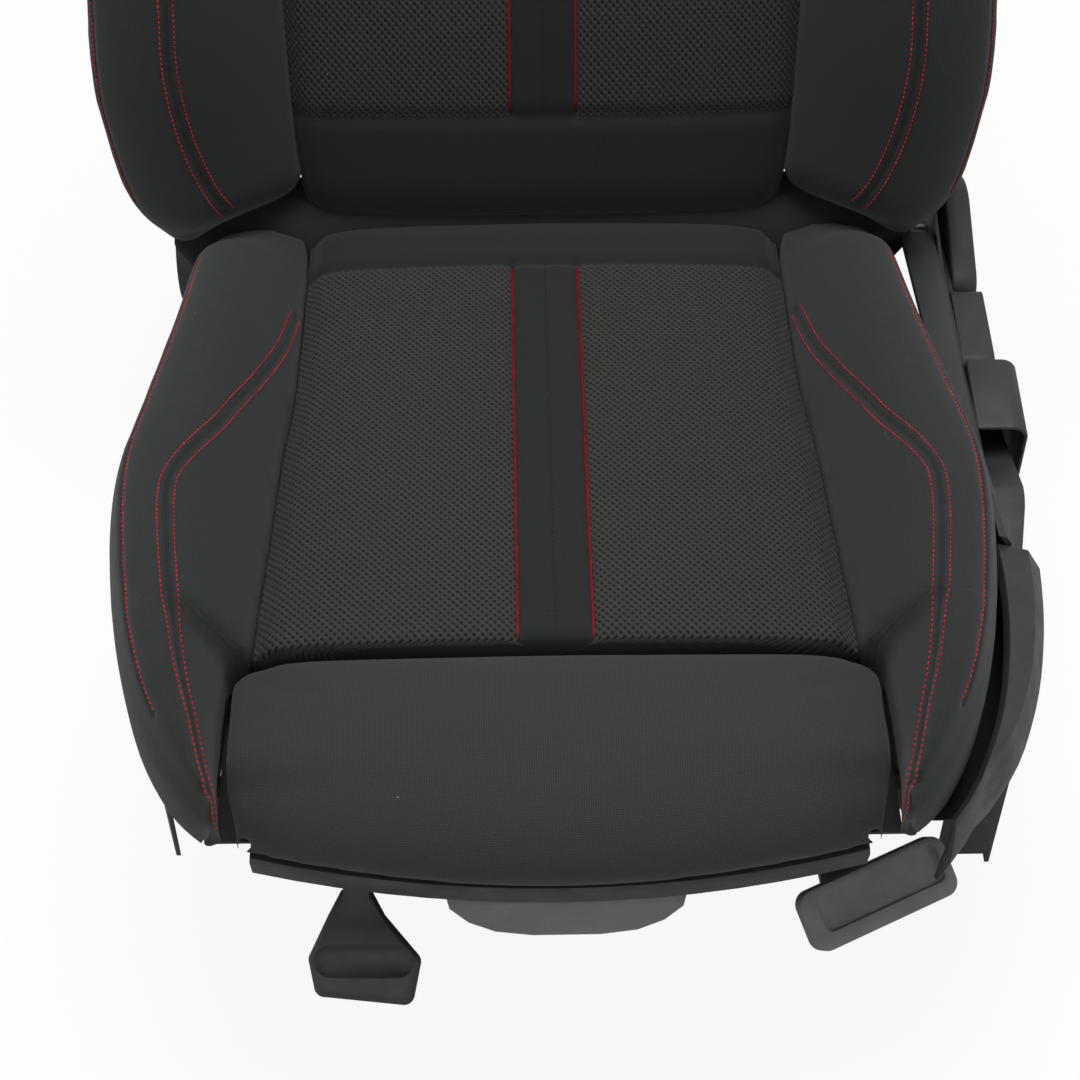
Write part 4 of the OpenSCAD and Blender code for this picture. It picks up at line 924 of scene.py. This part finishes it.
def makeThighPad(c=thigh):
    rings = []
    marks = [-1, -0.992, -0.974, -0.943, -0.9] + steps(-0.84, 0.84, 26) + [0.9, 0.943, 0.974, 0.992, 1]
    for m in marks:
        a, x = abs(m), m * c["half"]
        f = c["front"] + 27 * (x / 185) ** 2
        b = c["back"] - 9 * a ** 12
        z = -2 + 5 * (1 - a * a) - 8 * a ** 14
        e = 9 * a ** 16
        low = c["low"]
        bend = [(-262 + (f + 28 + 262) * t, z - 11 * t ** 1.8) for t in (0, 0.3, 0.6, 0.85, 1)]
        ring = [(b - e, low + e), (b - e, (low + z - 12) / 2), (b - e, z - 12), (b - 1.2, z - 6), (b - 4, z - 1.8),
                (b - 9, z), (b - 22, z + 0.6), (-225, z + 1), (-245, z + 0.8)] + bend
        ring += [(f + 16, z - 18), (f + 8, z - 27), (f + 3 + e, z - 37), (f + 1 + e, z - 46), (f + 2, low - 6),
                 (f + 8, low - 12), (f + 18, low - 13.5), (c["earFront"] - 1.5, low - 9), (c["earFront"] - 1, low + e),
                 (-260, low + e), (-225, low + e)]
        rings.append([(m * thighHalf(y), y, h) for y, h in ring])
    obj, source = loft("thighPad", rings, cushionPlace)

    def held(p):
        return 1.0 if p.z < -38 or p.y > -190 else 0.6 if abs(p.x) > 187 else 0.0

    inflate(obj, cushionPlace, held, 0.004)
    mapCloth(obj, source)
    paint(obj, cloth["thigh"])
    finishPad(obj, "thigh_support", "bolster_fabric", "thigh_pad")


makeThighPad()
print("thigh pad made")


# ---- backrest ----
back = {"half": 301, "wing": 82, "strip": 22.5, "meshStart": 72, "memberX": 229.9}
backWidths = [(-24, -39), (0, -21), (30, -8), (65, -2), (110, 2.5), (170, 0.5), (300, -9), (420, -31), (500, -53),
              (560, -86), (595, -128), (612, -160)]
wingReach = [(-24, 0.34), (0, 0.52), (30, 0.62), (60, 0.70), (120, 0.88), (200, 1), (300, 0.95), (420, 0.7),
             (500, 0.42), (560, 0.2), (612, 0.05)]
faceDepth = [(-10, -16), (4, -5), (24, 1), (120, 5), (240, 1), (430, 0), (612, -8)]
backInsertWidths = [(-10, 160), (20, 166), (80, 171), (200, 173), (330, 170), (440, 160)]
innerFoot = [(-24, 236), (-10, 214), (2, 190), (12, 174), (24, 167), (40, 166)]


def makeBackInsert(c=back):
    rings = []
    for s in [-8, -5, 0, 6, 13, 21, 30, 40, 50, 58, 64, 68, 72, 76, 80, 87] + steps(96, 439, 38):
        w = along(backInsertWidths, s) + 4.5
        low = 30 + (min(max(s, -8), 12) + 8)
        ring = []
        for x in panelPlaces(w, 170, c["strip"]):
            n = 5 * (1 - (x / w) ** 2) - 7 * (abs(x) / w) ** 12 - 5 * groove(abs(x) - w * 0.985, 9, 1)
            if s > 70:
                n -= groove(abs(x) - c["strip"], 5, 2.8) + groove(x, 3, 1.0)
            n -= groove(s - c["meshStart"], 7, 4)
            ring.append((x, -n - along(faceDepth, s), s))
        ring += [(w - 0.5, 26, s), (w - 3, low, s), (0, low, s), (3 - w, low, s), (0.5 - w, 26, s)]
        rings.append(ring)
    obj, source = loft("backCentre", rings, backPlace)
    mapCloth(obj, source)
    paint(obj, cloth["mesh"], cloth["strip"], cloth["band"])
    paintWhere(obj, backPlace, lambda p: 2 if p.z < c["meshStart"] else 1 if abs(p.x) < c["strip"] else 0)
    applyModifier(obj, "SUBSURF", levels=1, render_levels=1)
    finishPad(obj, "backrest", "mesh_fabric", "back_insert")
    sides = [[(x, 0, s) for s in (74, 130, 200, 270, 350, 436)] for x in (-c["strip"], c["strip"])]
    sewStrip(obj, "back", "backrest", backPlace, sides, [(0, 0, s) for s in (76, 190, 310, 436)], (0, 1, 0))


def backRing(s, c=back):
    inner = max(along(backInsertWidths, s), along(innerFoot, s))
    w = c["half"] + along(backWidths, s)
    p = c["wing"] * along(wingReach, s)
    crest = inner + 0.66 * (w - inner)
    f = along(faceDepth, s)
    hook = max(c["memberX"] + 2, inner + 1)
    points = [(inner + 0.4, 20, s), (inner + 0.4, 12 - f, s), (inner + 0.4, 4 - f, s)]
    for t in (0.06, 0.14, 0.26, 0.4, 0.55, 0.7, 0.85, 1):
        points.append((inner + (crest - inner) * t, 4 - f - (p + 4) * math.sin(math.pi / 2 * t ** 1.15), s))
    for a in (14, 28, 42, 56, 70, 82):
        turn = math.radians(a)
        points.append((crest + (w - crest) * math.sin(turn), -f - p + 32 * (1 - math.cos(turn)), s))
    points += [(w, 28 - f - p * 0.8, s), (w, 26 - f - p * 0.6, s), (w - 0.5, 16 - p * 0.2, s),
               (w - 2, 30, s), (w - 5, 45, s), (w - 9, 58, s), (w - 14, 67, s), (w - 20, 74, s), (hook + 3, 77, s),
               (hook + 0.4, 74, s), (hook + 0.4, 20, s)]
    return points


def cutFoot(points):
    # the foot of the wing clears the recliner
    out = []
    for x, y, z in points:
        dy, dz = y - 47, z + 39
        gap = math.hypot(dy, dz)
        if gap < 50.2:
            z = -39 + math.sqrt(max(50.2 ** 2 - dy * dy, 0))
        out.append((x, y, z))
    return out


backMid = [(12, 218), (38, 229.5), (70, 238.5), (104, 243.7), (134, 245.5), (162, 244.5), (220, 242), (300, 236),
           (380, 226), (439, 216)]


def outerSeam(s, c=back):
    return c["half"] - 8 + along(backWidths, s)


def makeBackBolsters():
    stations = [-20, -14, -6, 0, 7, 14, 20, 26, 33, 41] + steps(52, 436, 28) + [439]
    rings = [cutFoot(backRing(s)) for s in stations]
    obj, source = loft("backBolsterRight", rings, backPlace)

    def held(p):
        inner = max(along(backInsertWidths, p.z), along(innerFoot, p.z)) + 3
        if p.x < inner or p.y > 60 or p.z < -2 or p.z > 430 or (p.y > 22 and p.x < 245):
            return 1.0
        sewn = abs(p.x - along(backMid, p.z)) < 4 or (abs(p.x - outerSeam(p.z)) < 4 and p.y < 0)
        return 0.9 if sewn else 0.0

    inflate(obj, backPlace, held, 0.0045)
    mapCloth(obj, source)
    middle = surfaceLine(obj, backPlace, [(x, 0, s) for s, x in backMid], 0.25, (0, 1, 0))
    outer = surfaceLine(obj, backPlace, [(outerSeam(s), 0, s) for s in (20, 60, 110, 170, 240, 310, 380, 437)],
                              0.25, (0, 1, 0))
    sewBolsters(obj, "back", "backrest", middle, outer)


def makeBackFlap():
    # cloth drawn from under the backrest's foot round the recliner and in under the cushion
    rings = []
    for angle in steps(72, 170, 25):
        half = 262 - 27 * max(0, (angle - 140) / 37)
        turn = math.radians(angle)
        ring = []
        for radius, order in ((49.9, 1), (48.6, -1)):
            for k in steps(-1, 1, 48)[::order]:
                r = radius + 0.35 * math.sin(k * 37 + angle * 0.05) - 1.5 * abs(k) ** 14
                ring.append((k * half, 258 + r * math.cos(turn), 168 + r * math.sin(turn)))
        rings.append(ring)
    obj, source = loft("backFlap", rings, seatPlace)
    mapCloth(obj, source)
    paint(obj, cloth["band"])
    smooth(obj)
    goesWith("backrest", "bolster_fabric", obj)


def makeShoulderPad(c=back):
    def front(x, s):
        w = c["half"] + along(backWidths, s)
        inner = along(backInsertWidths, min(s, 440)) * (1 - 0.2 * min(1, max(0, (s - 480) / 110)))
        a = abs(x)
        crest = inner + 0.66 * (w - inner)
        p = c["wing"] * along(wingReach, s)
        t = min(1, max((a - inner) / max(crest - inner, 1), 0))
        u = min(max((a - crest) / max(w - crest, 1), 0), 1)
        if a > crest:
            lift = p - 32 * (1 - math.sqrt(1 - u * u * 0.98))
        else:
            lift = p * math.sin(math.pi / 2 * t ** 1.15)
        return -along(faceDepth, s) - lift

    rings = []
    for s in [441, 443, 447] + steps(456, 584, 12) + [590, 596, 602, 607, 611, 612]:
        w = c["half"] + along(backWidths, s)
        e = max(0, s - 584) / 28.5
        r = 10 - 10 * math.sqrt(1 - e * e)
        tuck = 5 * max(0, (449 - s) / 8) ** 2
        ks = [-1, -0.985, -0.95, -0.9, -0.84, -0.77, -0.7, -0.6, -0.5, -0.375, -0.25, -0.12, 0]
        ks = ks + [-k for k in reversed(ks[:-1])]
        ring = [(k * w, front(k * w, s) + r * (1 + 0.7 * k * k) + tuck, s) for k in ks]
        ring += [(w - 3, 50, s), (w - 12, 66 - r, s), (w - 30, 78 - r, s), (w * 0.4, 78 - r, s), (-w * 0.4, 78 - r, s),
                 (30 - w, 78 - r, s), (12 - w, 66 - r, s), (3 - w, 50, s)]
        rings.append(ring)
    obj, source = loft("shoulderPad", rings, backPlace)

    def held(p):
        return 1.0 if p.z < 452 or p.y > 55 or p.z > 604 else 0.0

    inflate(obj, backPlace, held, 0.005)
    mapCloth(obj, source)
    plan = [(x, 0, 585 - 70 * (abs(x) / 250) ** 3) for x in (-225, -170, -110, -50, 0, 50, 110, 170, 225)]
    line = surfaceLine(obj, backPlace, plan, 0.3, (0, 1, 0))
    pressSeams(obj, [line], 1.4)
    paint(obj, cloth["bolster"])
    finishPad(obj, "backrest", "bolster_fabric", "shoulder_pad")
    tree = surfaceTree(obj)
    sewn = [besideLine(line, tree, offset) for offset in (-4, 4)]
    goesWith("backrest", "bolster_fabric", sewStitches("shoulderStitches", sewn))


makeBackInsert()
makeBackBolsters()
makeBackFlap()
makeShoulderPad()
print("backrest made")


# ---- headrest ----
headrest = {"width": 270, "height": 190, "thick": 105, "foot": 640, "postY": 34, "corner": 0.42}
headWidths = [(0, 0.72), (0.1, 0.86), (0.3, 0.97), (0.55, 1), (0.8, 0.95), (0.93, 0.84), (1, 0.66)]
headDepths = [(0, 0.5), (0.1, 0.76), (0.35, 0.98), (0.6, 1), (0.85, 0.84), (0.95, 0.62), (1, 0.36)]


def makeHeadrest(c=headrest):
    rings = []
    for u in [0.0, 0.012, 0.03, 0.06, 0.1, 0.15] + steps(0.22, 0.85, 11) + [0.9, 0.94, 0.97, 0.99, 1.0]:
        ring = []
        for a in range(0, 360, 9):
            x, n = math.cos(math.radians(a)), math.sin(math.radians(a))
            wide = math.copysign(abs(x) ** c["corner"], x) * c["width"] / 2 * along(headWidths, u)
            deep = math.copysign(abs(n) ** 0.62, n) * c["thick"] / 2 * along(headDepths, u)
            ring.append((wide, c["postY"] - 12 + 10 * u + deep, c["foot"] + u * c["height"]))
        rings.append(ring)
    obj, source = loft("headrestPad", rings, backPlace)

    def held(p):
        gap = abs(p.y - (c["postY"] - 12))
        return 0.9 if gap < 4 else 0.4 if p.z < c["foot"] + 4 else 0.0

    inflate(obj, backPlace, held, 0.006)
    mapCloth(obj, source)
    tree = surfaceTree(obj)
    line = []
    for i in range(240):
        a = -math.pi / 2 + 0.02 + (2 * math.pi - 0.04) * i / 239
        centre = backPlace @ Vector((0, (c["postY"] - 8) * mm, (c["foot"] + c["height"] / 2) * mm))
        way = (backPlace.to_3x3() @ Vector((math.cos(a) * 1.35, 0, math.sin(a)))).normalized()
        spot, normal, index, gap = tree.ray_cast(centre + way * 0.4, -way, 0.4)
        if spot is not None:
            line.append((spot, normal))
    pressSeams(obj, [line], 1.8)
    paint(obj, cloth["bolster"])
    finishPad(obj, "headrest", "bolster_fabric", "headrest_pad")
    tree = surfaceTree(obj)
    goesWith("headrest", "bolster_fabric", sewStitches("headrestStitches", [besideLine(line, tree, 4)]))


makeHeadrest()
print("headrest made")


# ---- moulded and metal parts ----
def rounded(node, name, body, slot, material, bevel):
    # the solid's own shape with its edges broken, as moulded
    data = cadNodes[node].data.copy()
    data.name = name
    obj = bpy.data.objects.new(name, data)
    scene.collection.objects.link(obj)
    onlySelect(obj)
    bpy.ops.object.mode_set(mode="EDIT")
    bpy.ops.mesh.select_all(action="SELECT")
    bpy.ops.mesh.remove_doubles(threshold=0.00002)
    bpy.ops.mesh.dissolve_limited(angle_limit=math.radians(1.2))
    bpy.ops.object.mode_set(mode="OBJECT")
    applyModifier(obj, "BEVEL", width=bevel * mm, segments=2, limit_method="ANGLE", angle_limit=math.radians(28),
                  use_clamp_overlap=True, harden_normals=False)
    applyModifier(obj, "TRIANGULATE")
    onlySelect(obj)
    bpy.ops.object.shade_smooth_by_angle(angle=math.radians(32))
    paint(obj, material)
    goesWith(body, slot, obj)
    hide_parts(node)


mouldings = {
    "trim_plastic": [
        ("side_trim", "sideTrim", "seat_frame", "trim", 1.2),
        ("front_valance", "frontValance", "seat_frame", "trim", 1.2),
        ("rail_skirt", "railSkirt", "seat_frame", "trim", 0.8),
        ("side_trim_left", "sideTrimLeft", "seat_frame", "trim", 0.8),
        ("lever_shroud", "leverShroud", "seat_frame", "trim", 1.2),
        ("recliner_cover_right", "reclinerCoverRight", "seat_frame", "trim", 4.0),
        ("recliner_cover_left", "reclinerCoverLeft", "seat_frame", "trim", 2.5),
        ("thigh_shell", "thighShell", "thigh_support", "shell", 0.8),
    ],
    "lever_plastic": [
        ("height_lever", "heightLever", "height_lever", "lever", 3.0),
        ("recline_lever", "reclineLever", "recline_lever", "lever", 3.0),
        ("tilt_lever", "tiltLever", "tilt_lever", "lever", 2.4),
        ("thigh_handle", "thighHandle", "thigh_handle", "handle", 2.4),
        ("slide_release_paddle", "slidePaddle", "slide_release", "paddle", 1.8),
        ("headrest_button", "headrestButton", "headrest_button", "lever", 0.8),
    ],
}
for slot, rows in mouldings.items():
    for node, name, body, key, bevel in rows:
        rounded(node, name, body, slot, plastic[key], bevel)

plain = {
    "shell": ["back_shell"],
    "trim": ["headrest_guides"],
    "nylon": ["slide_glides", "thigh_guides"],
    "coated": ["lower_rail_left", "lower_rail_right", "side_frame_left", "side_frame_right", "cross_tubes",
               "cushion_pan", "thigh_carrier", "back_member_left", "back_member_right", "back_braces",
               "release_arm_left", "release_arm_right", "release_tube"],
    "link": ["front_link_left", "front_link_right", "front_torque_tube", "rear_link_left", "rear_link_right",
             "rear_torque_tube", "height_pump"],
    "zinc": ["rail_feet", "slider_left", "slider_right", "slider_pins", "recliner_left", "recliner_right",
             "recline_shaft", "tilt_bracket", "thigh_rods", "handle_pin", "pan_pins"],
    "wire": ["back_springs"],
    "chrome": ["headrest_posts"],
}
finishes = {**plastic, **metal}
for key, nodes in plain.items():
    for node in nodes:
        for slotOn in cadNodes[node].material_slots:
            slotOn.material = finishes[key]
print("moulded and metal parts finished")
